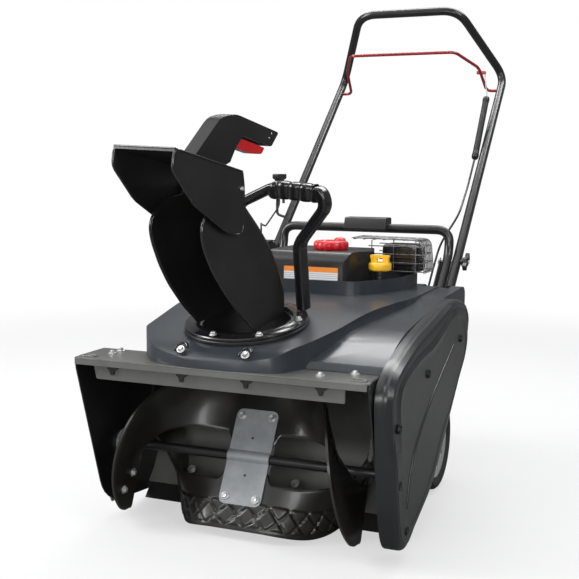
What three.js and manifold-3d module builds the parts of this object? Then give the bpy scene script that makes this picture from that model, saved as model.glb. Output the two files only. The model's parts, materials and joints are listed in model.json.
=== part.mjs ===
// Single-stage petrol snow blower, millimetres, +Z up.
// X runs across the machine (+X is the belt side), -Y is the front, +Y is where the operator walks.
import * as THREE from 'three';
import { mergeVertices } from 'three/addons/utils/BufferGeometryUtils.js';
import Module from 'manifold-3d';

const wasm = await Module();
wasm.setup();
const RAD = Math.PI / 180;
const GAP = 0.3;

// ---------------------------------------------------------------- driving dimensions
const CLEARING_WIDTH = 564;      // outside of the two side plates
const HOUSING_TOP = 338;         // flange above the ground
const FRONT_Y = -219;            // front edge of the flange
const FLANGE_DEPTH = 102;
const STEEL = 3;
const PLATE_X = CLEARING_WIDTH / 2;
const AUGER_RADIUS = 137;
const AUGER_SHAFT = 9;           // radius
const AUGER = { y: -58, z: AUGER_RADIUS + 2, radius: AUGER_RADIUS, shaft: AUGER_SHAFT, rubber: 7,
    end: PLATE_X - 48 };
const SCROLL_RADIUS = AUGER_RADIUS + 13;
const FLIGHT = { plateau: 45, centre: 60, sweep: 236, last: 78, inner: 46 };
const CLAMP = { half: 43, reach: AUGER_RADIUS - 45, steel: 3 };
const RING = { y: -76, z: HOUSING_TOP + 67, radius: 115, bore: 92, tilt: 10.8, turn: -13, seat: 9.4 };
const WHEEL_RADIUS = 101;
const WHEEL = { y: 324, radius: WHEEL_RADIUS, width: 44, outer: PLATE_X - 6, hub: 20 };
const AXLE_RADIUS = 8;
const TUBE = 11;                 // radius of the handle tubes
const TUBE_WALL = 1.8;
const CHASSIS = { x: PLATE_X - 47 - 3 * TUBE, front: 98, deck: HOUSING_TOP - 8 };
const SHROUD = { wall: 3, bottom: HOUSING_TOP + 0.6, rear: 490, left: PLATE_X - 46, right: PLATE_X + 2 };
const COVER = { inner: SHROUD.right + 2 * GAP, outer: SHROUD.right + 36, wall: 3, bevel: 16 };
const CRANK = { y: 225, z: CHASSIS.deck + 18, radius: 10 };
// The idler's wheel presses towards the belt's slack side from a little way off, on an arm below it.
const BELT = { lean: Math.atan2(CRANK.z - AUGER.z, CRANK.y - AUGER.y), middle: 176.5, off: 70.7 };
const IDLER_WHEEL = {
  y: AUGER.y + BELT.middle * Math.cos(BELT.lean) + BELT.off * Math.sin(BELT.lean),
  z: AUGER.z + BELT.middle * Math.sin(BELT.lean) - BELT.off * Math.cos(BELT.lean) };
const IDLER = { y: IDLER_WHEEL.y - 31, z: IDLER_WHEEL.z - 77, stud: 5 };
const ENGINE = { left: -120, right: 128, front: 236, rear: 400, top: CHASSIS.deck + 100 };
const ENGINE_ROOF = ENGINE.top + 78;
const LEG = { x: PLATE_X - 44.4, y: 539, z: CHASSIS.deck + 78, slope: 0.888 };
const GRIP_BEND = { y: 1148 };
const GRIP_BAR = { x: LEG.x - 98.6, y: 980, z: LEG.z + 704 };
const LOWER_TUBE_X = LEG.x - 2 * TUBE - 1;
const SWITCH_BOX = { left: -45, right: 62 };
const CROSSBAR = { y: 622, z: LEG.z + 132 };
const WING_Y = 605;
const BAIL = { y: 1100, wire: 4, barX: LEG.x - 91.6, barY: 925, barZ: LEG.z + 587 };
const BOLT = 4;                  // radius of the handle bolts
const legZ = (y) => LEG.z + LEG.slope * (y - LEG.y);

// ---------------------------------------------------------------- materials
const paint = (color, roughness, metalness) =>
  new THREE.MeshStandardMaterial({ color, roughness, metalness });
const BLACK_PAINT = paint(0x17181a, 0.35, 0.4);
const BLACK_PLASTIC = paint(0x151515, 0.45, 0);
const SHROUD_PLASTIC = paint(0x2b3035, 0.35, 0);
const RUBBER = paint(0x1c1a18, 0.7, 0);
const STEEL_GREY = paint(0x565a5e, 0.4, 0.8);
const ZINC = paint(0xc8cacc, 0.25, 0.9);
const RED_PLASTIC = paint(0xc8141c, 0.35, 0);
const RED_PAINT = paint(0x8e1620, 0.3, 0.2);
const YELLOW_PLASTIC = paint(0xf2c21a, 0.35, 0);
const RIM_PLASTIC = paint(0xb4b6b8, 0.45, 0);
const ALLOY = paint(0x8d9093, 0.45, 0.9);

// ---------------------------------------------------------------- geometry helpers
function tidy(geometry) {
  // One vertex for each corner, no collapsed triangles, faces pointing out.
  const bare = geometry.clone();
  bare.deleteAttribute('normal');
  bare.deleteAttribute('uv');
  const merged = mergeVertices(bare, 1e-3);
  const index = Array.from(merged.index.array);
  const at = merged.attributes.position.array;
  const kept = [];
  let volume = 0;
  for (let i = 0; i < index.length; i += 3) {
    const [a, b, c] = [index[i], index[i + 1], index[i + 2]];
    if (a === b || b === c || c === a) continue;
    kept.push(a, b, c);
    const [ax, ay, az] = at.slice(3 * a, 3 * a + 3);
    const [bx, by, bz] = at.slice(3 * b, 3 * b + 3);
    const [cx, cy, cz] = at.slice(3 * c, 3 * c + 3);
    volume += ax * (by * cz - bz * cy) - ay * (bx * cz - bz * cx) + az * (bx * cy - by * cx);
  }
  if (volume < 0) kept.reverse();
  const result = new THREE.BufferGeometry();
  result.setAttribute('position', new THREE.BufferAttribute(new Float32Array(at), 3));
  result.setIndex(kept);
  result.computeVertexNormals();
  return result;
}

function solid(geometry) {
  const clean = tidy(geometry);
  const vertProperties = new Float32Array(clean.attributes.position.array);
  const triVerts = new Uint32Array(clean.index.array);
  return new wasm.Manifold(new wasm.Mesh({ numProp: 3, vertProperties, triVerts }));
}

function surface(manifold) {
  const mesh = manifold.getMesh();
  const geometry = new THREE.BufferGeometry();
  geometry.setAttribute('position', new THREE.BufferAttribute(new Float32Array(mesh.vertProperties), 3));
  geometry.setIndex(Array.from(mesh.triVerts));
  geometry.computeVertexNormals();
  return geometry;
}

const join = (first, ...rest) => surface(rest.reduce((sum, piece) => sum.add(solid(piece)), solid(first)));
const common = (first, ...rest) =>
  surface(rest.reduce((sum, piece) => sum.intersect(solid(piece)), solid(first)));
const cut = (first, ...rest) =>
  surface(rest.reduce((sum, piece) => sum.subtract(solid(piece)), solid(first)));

// A closed outline; each corner [a, b, radius] may carry a radius of its own.
function outline(corners, radius = 0) {
  const shape = new THREE.Shape();
  const count = corners.length;
  corners.forEach((corner, i) => {
    const here = new THREE.Vector2(corner[0], corner[1]);
    const before = new THREE.Vector2(...corners[(i + count - 1) % count]);
    const after = new THREE.Vector2(...corners[(i + 1) % count]);
    const wanted = corner[2] ?? radius;
    const reach = Math.min(wanted, here.distanceTo(before) / 2.1, here.distanceTo(after) / 2.1);
    const start = here.clone().add(before.sub(here).setLength(reach));
    const end = here.clone().add(after.sub(here).setLength(reach));
    if (i === 0) shape.moveTo(start.x, start.y);
    else shape.lineTo(start.x, start.y);
    if (wanted > 0) shape.quadraticCurveTo(here.x, here.y, end.x, end.y);
  });
  shape.closePath();
  return shape;
}

function circle(a, b, radius) {
  const path = new THREE.Shape();
  path.absarc(a, b, radius, 0, 2 * Math.PI, false);
  return path;
}

// The outline moved inwards by a wall; the corners are mitred.
function inset(corners, wall) {
  const count = corners.length;
  const area = corners.reduce((sum, [a, b], i) => {
    const [c, d] = corners[(i + 1) % count];
    return sum + a * d - b * c;
  }, 0);
  const side = Math.sign(area);
  return corners.map(([a, b, radius], i) => {
    const [pa, pb] = corners[(i + count - 1) % count];
    const [na, nb] = corners[(i + 1) % count];
    const u = new THREE.Vector2(a - pa, b - pb).normalize();
    const v = new THREE.Vector2(na - a, nb - b).normalize();
    const n1 = new THREE.Vector2(-u.y, u.x).multiplyScalar(side);
    const n2 = new THREE.Vector2(-v.y, v.x).multiplyScalar(side);
    const mid = n1.clone().add(n2).normalize();
    const reach = wall / Math.max(mid.dot(n1), 0.4);
    return [a + mid.x * reach, b + mid.y * reach, radius];
  });
}

// A bent sheet seen from the edge: the middle line given a thickness.
function strip(line, thickness) {
  const side = (offset) => line.map(([a, b], i) => {
    const before = line[Math.max(i - 1, 0)];
    const after = line[Math.min(i + 1, line.length - 1)];
    const u = new THREE.Vector2(a - before[0], b - before[1]);
    const v = new THREE.Vector2(after[0] - a, after[1] - b);
    if (u.length() === 0) u.copy(v);
    if (v.length() === 0) v.copy(u);
    u.normalize();
    v.normalize();
    const n1 = new THREE.Vector2(-u.y, u.x);
    const mid = n1.clone().add(new THREE.Vector2(-v.y, v.x)).normalize();
    const reach = offset / mid.dot(n1);
    return [a + mid.x * reach, b + mid.y * reach];
  });
  return [...side(thickness / 2), ...side(-thickness / 2).reverse()];
}

function extrude(shape, depth, options = {}) {
  return new THREE.ExtrudeGeometry(shape, { depth, bevelEnabled: false, curveSegments: 3, ...options });
}
const TO_X = new THREE.Matrix4().makeBasis(
  new THREE.Vector3(0, 1, 0), new THREE.Vector3(0, 0, 1), new THREE.Vector3(1, 0, 0));
const TO_Y = new THREE.Matrix4().makeBasis(
  new THREE.Vector3(1, 0, 0), new THREE.Vector3(0, 0, 1), new THREE.Vector3(0, -1, 0));
// Outlines in (y, z) carried along X, in (x, z) along Y and in (x, y) along Z.
const alongX = (shape, x0, x1, options) =>
  extrude(shape, x1 - x0, options).applyMatrix4(TO_X).translate(x0, 0, 0);
const alongY = (shape, y0, y1, options) =>
  extrude(shape, y1 - y0, options).applyMatrix4(TO_Y).translate(0, y1, 0);
const alongZ = (shape, z0, z1, options) => extrude(shape, z1 - z0, options).translate(0, 0, z0);

function box(x0, x1, y0, y1, z0, z1) {
  const geometry = new THREE.BoxGeometry(x1 - x0, y1 - y0, z1 - z0);
  return geometry.translate((x0 + x1) / 2, (y0 + y1) / 2, (z0 + z1) / 2);
}

// A turned piece: profile of [radius, height] pairs, then laid along an axis.
function turned(profile, segments, axis, x, y, z) {
  const geometry = new THREE.LatheGeometry(profile.map(([r, h]) => new THREE.Vector2(r, h)), segments);
  if (axis === 'x') geometry.rotateZ(-90 * RAD);
  if (axis === 'z') geometry.rotateX(90 * RAD);
  return geometry.translate(x, y, z);
}
const rod = (radius, length, segments, axis, x, y, z) =>
  turned([[0, 0], [radius, 0], [radius, length], [0, length]], segments, axis, x, y, z);

// A path through chosen points with round bends; each step of a sweep lands on one point.
class BentPath extends THREE.Curve {
  constructor(corners, bend, steps = 4) {
    super();
    const all = corners.map((corner) => new THREE.Vector3(...corner));
    this.points = [all[0]];
    for (let i = 1; i < all.length - 1; i += 1) {
      const here = all[i];
      const shortest = Math.min(here.distanceTo(all[i - 1]), here.distanceTo(all[i + 1]));
      const reach = Math.min(bend, shortest / 2.1);
      const start = here.clone().add(all[i - 1].clone().sub(here).setLength(reach));
      const end = here.clone().add(all[i + 1].clone().sub(here).setLength(reach));
      const arc = new THREE.QuadraticBezierCurve3(start, here, end);
      this.points.push(...arc.getPoints(steps));
    }
    this.points.push(all[all.length - 1]);
  }
  getPoint(t, target = new THREE.Vector3()) {
    return target.copy(this.points[Math.round(t * (this.points.length - 1))]);
  }
  getPointAt(t, target) {
    return this.getPoint(t, target);
  }
  getTangent(t, target = new THREE.Vector3()) {
    const i = Math.round(t * (this.points.length - 1));
    const before = this.points[Math.max(i - 1, 0)];
    const after = this.points[Math.min(i + 1, this.points.length - 1)];
    const here = this.points[i];
    const u = here.clone().sub(before).normalize();
    const v = after.clone().sub(here).normalize();
    return target.copy(u.add(v).normalize());
  }
  getTangentAt(t, target) {
    return this.getTangent(t, target);
  }
}

function polygon(radius, sides) {
  const section = new THREE.Shape();
  for (let i = 0; i < sides; i += 1) {
    const angle = 2 * Math.PI * i / sides;
    const [a, b] = [radius * Math.cos(angle), radius * Math.sin(angle)];
    if (i === 0) section.moveTo(a, b);
    else section.lineTo(a, b);
  }
  section.closePath();
  return section;
}

// A rod or, with a bore, an open-ended tube along a bent path.
function bentRod(corners, radius, bend, sides = 12, steps = 4, bore = 0) {
  const path = new BentPath(corners, bend, steps);
  const section = polygon(radius, sides);
  if (bore > 0) section.holes.push(polygon(bore, Math.max(6, sides / 2)));
  return new THREE.ExtrudeGeometry(section, {
    steps: path.points.length - 1, extrudePath: path, curveSegments: 1, bevelEnabled: false,
  });
}

// A curved sheet with two faces: grids of points [u][v], one for each face, closed round the rim.
function sheetSolid(front, back) {
  const rows = front.length;
  const columns = front[0].length;
  const points = [...front.flat(), ...back.flat()];
  const a = (i, j) => i * columns + j;
  const b = (i, j) => rows * columns + i * columns + j;
  const index = [];
  const quad = (p, q, r, s) => index.push(p, q, r, p, r, s);
  for (let i = 0; i < rows - 1; i += 1) {
    for (let j = 0; j < columns - 1; j += 1) {
      quad(a(i, j), a(i, j + 1), a(i + 1, j + 1), a(i + 1, j));
      quad(b(i, j), b(i + 1, j), b(i + 1, j + 1), b(i, j + 1));
    }
  }
  for (let i = 0; i < rows - 1; i += 1) {
    quad(a(i, 0), a(i + 1, 0), b(i + 1, 0), b(i, 0));
    quad(a(i, columns - 1), b(i, columns - 1), b(i + 1, columns - 1), a(i + 1, columns - 1));
  }
  for (let j = 0; j < columns - 1; j += 1) {
    quad(a(0, j), b(0, j), b(0, j + 1), a(0, j + 1));
    quad(a(rows - 1, j), a(rows - 1, j + 1), b(rows - 1, j + 1), b(rows - 1, j));
  }
  const geometry = new THREE.BufferGeometry();
  geometry.setAttribute('position', new THREE.Float32BufferAttribute(points.flatMap((p) => [p.x, p.y,
      p.z]), 3));
  geometry.setIndex(index);
  return geometry;
}

function add(parent, name, geometry, material) {
  const mesh = new THREE.Mesh(tidy(geometry), material);
  mesh.name = name;
  parent.add(mesh);
  return mesh;
}

const machine = new THREE.Group();

// ---------------------------------------------------------------- auger housing
const around = (degrees, radius) => [
  AUGER.y + radius * Math.cos(degrees * RAD), AUGER.z + radius * Math.sin(degrees * RAD)];

function makeHousing() {
  const top = HOUSING_TOP - STEEL / 2;
  const flangeBack = FRONT_Y + FLANGE_DEPTH;
  const line = [[FRONT_Y + STEEL / 2, HOUSING_TOP - 13], [FRONT_Y + STEEL / 2, top], [flangeBack, top]];
  for (let degrees = 72; degrees >= -48; degrees -= 12) line.push(around(degrees, SCROLL_RADIUS));
  const inside = PLATE_X - STEEL - GAP;
  const wrap = alongX(outline(strip(line, STEEL)), -inside, inside);
  const throat = rod(RING.bore, 300, 32, 'z', 0, 0, 0).translate(0, 0, -200);
  throat.rotateX(RING.tilt * RAD).translate(0, RING.y, RING.z);
  add(machine, 'auger_housing', cut(wrap, throat), BLACK_PAINT);

  const plate = outline([
    [FRONT_Y, HOUSING_TOP, 22], [FRONT_Y + FLANGE_DEPTH, HOUSING_TOP], [-40, HOUSING_TOP - 46, 20],
    [60, HOUSING_TOP - 46, 30], [138, 220, 40],
    [138, 60, 30], [84, 7, 10], [-90, 26, 40], [-131, 58, 40],
  ]);
  const bore = rod(AUGER.shaft + 10, 40, 28, 'x', -20, AUGER.y, AUGER.z);
  const left = alongX(plate, -PLATE_X, -PLATE_X + STEEL);
  const right = alongX(plate, PLATE_X - STEEL, PLATE_X);
  add(machine, 'side_plate_left', cut(left, bore.clone().translate(-PLATE_X, 0, 0)), BLACK_PAINT);
  const stud = rod(IDLER.stud, COVER.inner + 22 - PLATE_X, 16, 'x', PLATE_X - 1, IDLER.y, IDLER.z);
  add(machine, 'side_plate_right', join(cut(right, bore.clone().translate(PLATE_X, 0, 0)), stud),
      BLACK_PAINT);

  const drop = HOUSING_TOP - STEEL - GAP;
  add(machine, 'front_stiffener', alongY(outline([
    [34 - PLATE_X, drop], [PLATE_X - 44, drop], [PLATE_X - 44, drop - 36],
        [42 - PLATE_X, drop - 36]], 3), FRONT_Y + 12, FRONT_Y + 15), BLACK_PAINT);

  const reach = SCROLL_RADIUS + STEEL / 2 + GAP;
  const turn = -45 * RAD;
  const point = (radius, along) => [
    AUGER.y + radius * Math.cos(turn) + along * Math.sin(turn),
    AUGER.z + radius * Math.sin(turn) - along * Math.cos(turn)];
  const toGround = (radius) => (AUGER.z + radius * Math.sin(turn)) / Math.cos(turn);
  const blade = outline([
    point(reach, toGround(reach)), point(reach + 5, toGround(reach + 5)), point(reach + 5, -32),
        point(reach, -32)]);
  add(machine, 'scraper_bar', alongX(blade, -inside + 4, inside - 4), BLACK_PLASTIC);

  for (const [name, side] of [['bearing_left', -1], ['bearing_right', 1]]) {
    const profile = [
      [AUGER.shaft + GAP, -6], [AUGER.shaft + 17, -6], [AUGER.shaft + 17, -GAP],
          [AUGER.shaft + 10 - GAP, -GAP],
      [AUGER.shaft + 10 - GAP, 8], [AUGER.shaft + GAP, 8],
      [AUGER.shaft + GAP, -6]];
    const ring = turned(profile, 18, 'x', 0, 0, 0);
    if (side < 0) ring.rotateZ(180 * RAD);
    ring.translate(side * (PLATE_X - STEEL), AUGER.y, AUGER.z);
    add(machine, name, ring, STEEL_GREY);
  }
}

// ---------------------------------------------------------------- auger
function flightPoint(x, degrees, radius) {
  const [y, z] = around(degrees, radius);
  return new THREE.Vector3(x, y, z);
}

function flight(turn) {
  // Half a flight runs flat beside the clamp, then winds round the shaft out to its tip.
  const steps = [];
  const last = FLIGHT.last;
  for (let i = 14; i >= 1; i -= 1) steps.push([-1, i * last / 14]);
  steps.push([-1, 0], [1, 0]);
  for (let i = 1; i <= 14; i += 1) steps.push([1, i * last / 14]);
  const span = AUGER.end / Math.sin(last * RAD) - FLIGHT.plateau / Math.sin(last * RAD);
  const line = steps.map(([side, a]) => ({
    x: side * (FLIGHT.plateau + span * Math.sin(a * RAD)),
    degrees: turn + FLIGHT.centre + FLIGHT.sweep * (1 - Math.cos(a * RAD)),
    share: a / last,
  }));
  const face = (offset) => line.map(({ x, degrees, share }, i) => {
    const before = line[Math.max(i - 1, 0)];
    const after = line[Math.min(i + 1, line.length - 1)];
    const inner = FLIGHT.inner - 26 * share ** 3 - (share < 0.05 ? 22 : 0);
    const outer = AUGER.radius - (share > 0.96 ? 14 : 0);
    return [0, 1, 2, 3].map((j) => {
      const radius = inner + (outer - inner) * j / 3;
      const along = flightPoint(after.x, after.degrees, radius).sub(flightPoint(before.x,
          before.degrees, radius));
      const out = flightPoint(0, degrees, 1).sub(flightPoint(0, degrees, 0));
      const normal = along.cross(out).normalize();
      return flightPoint(x, degrees, radius).addScaledVector(normal, offset);
    });
  });
  return sheetSolid(face(AUGER.rubber / 2), face(-AUGER.rubber / 2));
}

function makeAuger() {
  const shaftEnd = COVER.inner + 24;
  const left = PLATE_X + 12;
  const tube = rod(AUGER.shaft, left + shaftEnd, 24, 'x', -left, AUGER.y, AUGER.z);
  add(machine, 'auger_shaft', tube, BLACK_PAINT);
  add(machine, 'auger_flight_a', flight(0), RUBBER);
  add(machine, 'auger_flight_b', flight(180), RUBBER);

  // Two pressed plates, one on each face of the rubber, each wrapping half of the shaft.
  const hump = AUGER.shaft + GAP;
  for (const [name, side] of [['clamp_front', 1], ['clamp_rear', -1]]) {
    const off = AUGER.rubber / 2 + GAP + CLAMP.steel / 2;
    const bulge = hump + CLAMP.steel / 2;
    const line = [[-CLAMP.reach, off], [-bulge - 3, off]];
    for (let i = 0; i <= 8; i += 1) {
      const angle = (165 - 150 * i / 8) * RAD;
      line.push([bulge * 1.08 * Math.cos(angle), bulge * 1.08 * Math.sin(angle)]);
    }
    line.push([bulge + 3, off], [CLAMP.reach, off]);
    const plate = alongX(outline(strip(line, CLAMP.steel)), -CLAMP.half, CLAMP.half);
    plate.rotateX(FLIGHT.centre * RAD + (side > 0 ? 0 : Math.PI));
    plate.translate(0, AUGER.y, AUGER.z);
    add(machine, name, plate, STEEL_GREY);
  }

  const groove = 58;
  const rim = 66;
  const pulley = turned([
    [AUGER.shaft + GAP, 0], [rim, 0], [rim, 2], [groove, 6], [groove, 10], [rim, 14], [rim, 16],
    [AUGER.shaft + GAP, 16], [AUGER.shaft + GAP, 0]], 28, 'x', COVER.inner + 5, AUGER.y, AUGER.z);
  add(machine, 'auger_pulley', pulley, ALLOY);
}

// ---------------------------------------------------------------- belt drive
function makeDrive() {
  const start = COVER.inner + 5;
  const shaft = rod(CRANK.radius, start + 18 - ENGINE.right - GAP, 20, 'x', ENGINE.right + GAP,
      CRANK.y, CRANK.z);
  const sheave = turned([
    [0, 0], [26, 0], [26, 2], [19, 6], [19, 10], [26, 14], [26, 16],
        [0, 16]], 20, 'x', start, CRANK.y, CRANK.z);
  add(machine, 'engine_pulley', join(shaft, sheave), ALLOY);

  const centre = new THREE.Vector2(CRANK.y - AUGER.y, CRANK.z - AUGER.z);
  const lean = Math.atan2(centre.y, centre.x);
  const loop = (big, small) => {
    const tilt = Math.asin((big - small) / centre.length());
    const shape = new THREE.Shape();
    shape.absarc(AUGER.y, AUGER.z, big, lean + Math.PI / 2 - tilt, lean + 1.5 * Math.PI + tilt, false);
    shape.absarc(CRANK.y, CRANK.z, small, lean - Math.PI / 2 + tilt, lean + Math.PI / 2 - tilt, false);
    shape.closePath();
    return shape;
  };
  const belt = cut(
    alongX(loop(66, 27), start + 6.4, start + 9.6, { curveSegments: 12 }),
    alongX(loop(59, 20), start, start + 16, { curveSegments: 12 }));
  add(machine, 'drive_belt', belt, RUBBER);

  const pivot = [IDLER.y, IDLER.z];
  const idler = [IDLER_WHEEL.y, IDLER_WHEEL.z];
  const arm = extrudedArm(pivot, idler, 11, start + 12, start + 16);
  add(machine, 'idler_arm', cut(arm, rod(IDLER.stud + GAP, 40, 16, 'x', start - 10, ...pivot)), ZINC);
  add(machine, 'idler_pulley', turned([
    [0, 0], [20, 0], [20, 2], [18, 3], [18, 8], [20, 9], [20, 11],
        [0, 11]], 16, 'x', start + 0.5, ...idler), ALLOY);
}

function extrudedArm(from, to, radius, x0, x1) {
  const direction = Math.atan2(to[1] - from[1], to[0] - from[0]);
  const shape = new THREE.Shape();
  shape.absarc(from[0], from[1], radius, direction + Math.PI / 2, direction + 1.5 * Math.PI, false);
  shape.absarc(to[0], to[1], radius, direction - Math.PI / 2, direction + Math.PI / 2, false);
  shape.closePath();
  return alongX(shape, x0, x1);
}

function makeBeltCover() {
  const rim = [
    [-201, HOUSING_TOP - 16, 30], [-176, 134, 60], [-150, 46, 40], [-108, 20, 30], [-62, 22, 40],
        [97, 68, 60],
    [178, 125, 60], [350, HOUSING_TOP - 70, 40], [400, HOUSING_TOP - 33, 40], [400, HOUSING_TOP + 12, 40],
    [356, HOUSING_TOP + 66, 30], [262, HOUSING_TOP + 86, 40], [-29, HOUSING_TOP + 46, 60],
    [-150, HOUSING_TOP + 14, 40]];
  const wide = 2 * COVER.bevel;
  const body = (corners, x1) => alongX(outline(inset(corners, COVER.bevel)), COVER.inner - wide,
      x1 - COVER.bevel, {
    bevelEnabled: true, bevelThickness: COVER.bevel, bevelSize: COVER.bevel, bevelSegments: 2 });
  const back = box(COVER.inner - 90, COVER.inner, -400, 600, -100, 600);
  const outer = solid(body(rim, COVER.outer)).subtract(solid(back));
  const hollow = solid(body(inset(rim, COVER.wall), COVER.outer - COVER.wall));
  add(machine, 'belt_cover', surface(outer.subtract(hollow)), BLACK_PLASTIC);
}

// ---------------------------------------------------------------- chassis and wheels
function makeChassis() {
  const shapeOf = outline([
    [CHASSIS.front, 120, 10], [CHASSIS.front, CHASSIS.deck - 4, 6], [440, CHASSIS.deck - 4, 6],
    [596, legZ(WING_Y) + 9.4, 14], [618, legZ(WING_Y) - 14.6, 14], [470, CHASSIS.deck - 30, 30],
    [410, 60, 40], [250, 60, 40]]);
  for (const [name, sign] of [['chassis_plate_left', -1], ['chassis_plate_right', 1]]) {
    const x0 = sign > 0 ? CHASSIS.x - STEEL : -CHASSIS.x;
    const plate = alongX(shapeOf, x0, x0 + STEEL);
    const axleHole = rod(AXLE_RADIUS + GAP, 60, 20, 'x', x0 - 30, WHEEL.y, WHEEL.radius);
    const boltHole = rod(BOLT + GAP, 60, 16, 'x', x0 - 30, WING_Y, legZ(WING_Y));
    const crankHole = rod(CRANK.radius + 4, 60, 20, 'x', x0 - 30, CRANK.y, CRANK.z);
    add(machine, name, cut(plate, axleHole, boltHole, crankHole), BLACK_PAINT);
  }
  const inside = CHASSIS.x - STEEL - GAP;
  const deck = box(-inside, inside, CHASSIS.front + 4, 440, CHASSIS.deck - STEEL, CHASSIS.deck);
  add(machine, 'engine_deck', deck, BLACK_PAINT);
  add(machine, 'axle', rod(AXLE_RADIUS, 2 * (WHEEL.outer - 8), 20, 'x', -WHEEL.outer + 8, WHEEL.y,
      WHEEL.radius), ZINC);
}

function makeWheels() {
  const half = WHEEL.width / 2;
  const middle = WHEEL.outer - half;
  const bead = WHEEL.radius - 25;
  for (const [name, sign] of [['left', -1], ['right', 1]]) {
    const tyre = turned([
      [bead + GAP, -half + 6], [WHEEL.radius - 14, -half], [WHEEL.radius - 4, -half + 5],
          [WHEEL.radius, -half + 14],
      [WHEEL.radius, half - 14], [WHEEL.radius - 4, half - 5], [WHEEL.radius - 14, half],
          [bead + GAP, half - 6],
      [bead + GAP, -half + 6]], 32, 'x', sign * middle, WHEEL.y, WHEEL.radius);
    add(machine, `tyre_${name}`, tyre, RUBBER);
    const rim = turned([
      [AXLE_RADIUS + GAP, -half + 4], [WHEEL.hub, -half + 4], [WHEEL.hub, half - 14], [bead - 8, half - 12],
      [bead - 8, -half + 6], [bead, -half + 6], [bead, half - 6], [WHEEL.hub + 4, half - 4],
          [AXLE_RADIUS + GAP, half - 4],
      [AXLE_RADIUS + GAP, -half + 4]], 32, 'x', 0, 0, 0);
    if (sign < 0) rim.rotateZ(180 * RAD);
    const windows = [];
    for (let i = 0; i < 8; i += 1) {
      const angle = i * 45 * RAD;
      const hole = circle(0, bead - 28, 11);
      windows.push(alongX(hole, -40, 40).rotateX(angle));
    }
    add(machine, `rim_${name}`, cut(rim, ...windows).translate(sign * middle, WHEEL.y, WHEEL.radius),
        RIM_PLASTIC);
  }
}

// ---------------------------------------------------------------- shroud
function makeShroud() {
  const { wall, bottom, rear, left, right } = SHROUD;
  const plan = [
    [-187, -117, 6], [-178, -134, 10], [-129, -203, 30], [-53, -220, 20], [50, -220, 20],
        [118, -203, 30], [135, -165, 12],
    [150, -136, 12], [176, -60, 20], [left, 200, 30], [left, rear, 20], [-left, rear, 20], [-left, 220, 30],
    [-196, 60, 30]];
  const seat = (y) => RING.z + (y - RING.y) * Math.tan(RING.tilt * RAD) - RING.seat / Math.cos(RING.tilt * RAD);
  const ringFront = RING.y - RING.radius;
  const ringRear = RING.y + RING.radius;
  const crown = [
    [-224, bottom], [-219, seat(ringFront) - 18, 8], [ringFront, seat(ringFront), 16],
        [ringRear, seat(ringRear), 40],
    [150, ENGINE.top - 6, 20], [rear - 20, ENGINE.top - 4, 10], [rear, ENGINE.top - 16, 10],
        [rear, bottom]];
  const flank = [
    [-146, bottom], [-140, HOUSING_TOP + 11, 6], [-29, HOUSING_TOP + 51, 40], [280, HOUSING_TOP + 82, 40],
    [rear - 16, ENGINE.top - 6, 10], [rear, ENGINE.top - 18, 10],
    [rear, bottom]];
  const part = (d) => {
    const nosePlan = solid(alongZ(outline(inset(plan, d)), bottom, 700));
    const noseSide = solid(alongX(outline(inset(crown, d)), -400, 400));
    const flankSide = solid(alongX(outline(inset(flank, d)), 140 + d, right - d));
    return nosePlan.intersect(noseSide).add(flankSide);
  };
  const collarBox = (d) => solid(alongZ(outline([
    [-170 + d, 206 + d, 20], [118 - d, 206 + d, 24], [180 - d, 330, 20], [180 - d, 478 - d, 20],
        [-170 + d, 478 - d, 20]]),
  bottom - 70, ENGINE.top + 22));
  const outer = part(0).add(collarBox(0).intersect(solid(box(-400, 400, -400, 600, HOUSING_TOP + 42,
      ENGINE.top + 22))));
  const hollow = part(wall);
  let shell = outer.subtract(hollow).subtract(hollow.translate([0, 0, -20])).subtract(collarBox(wall));
  const throat = rod(RING.bore + 1, 500, 40, 'z', 0, 0, 0).translate(0, 0, -250);
  throat.rotateX(RING.tilt * RAD).translate(0, RING.y, RING.z);
  shell = shell.subtract(solid(throat));
  shell = shell.subtract(solid(rod(CRANK.radius + 5, 60, 20, 'x', right - 30, CRANK.y, CRANK.z)));
  for (const sign of [-1, 1]) {
    const notch = [sign * (CHASSIS.x - STEEL - 0.4), sign * (LOWER_TUBE_X + 44)].sort((a, b) => a - b);
    shell = shell.subtract(solid(box(...notch, rear - 60, rear + 30, bottom - 40, ENGINE.top + 30)));
  }
  add(machine, 'shroud', surface(shell), SHROUD_PLASTIC);
}

// ---------------------------------------------------------------- chute
const tiltGroup = new THREE.Group();
tiltGroup.position.set(0, RING.y, RING.z);
tiltGroup.rotation.x = RING.tilt * RAD;
machine.add(tiltGroup);
const chute = new THREE.Group();
chute.rotation.z = RING.turn * RAD;
tiltGroup.add(chute);

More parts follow.
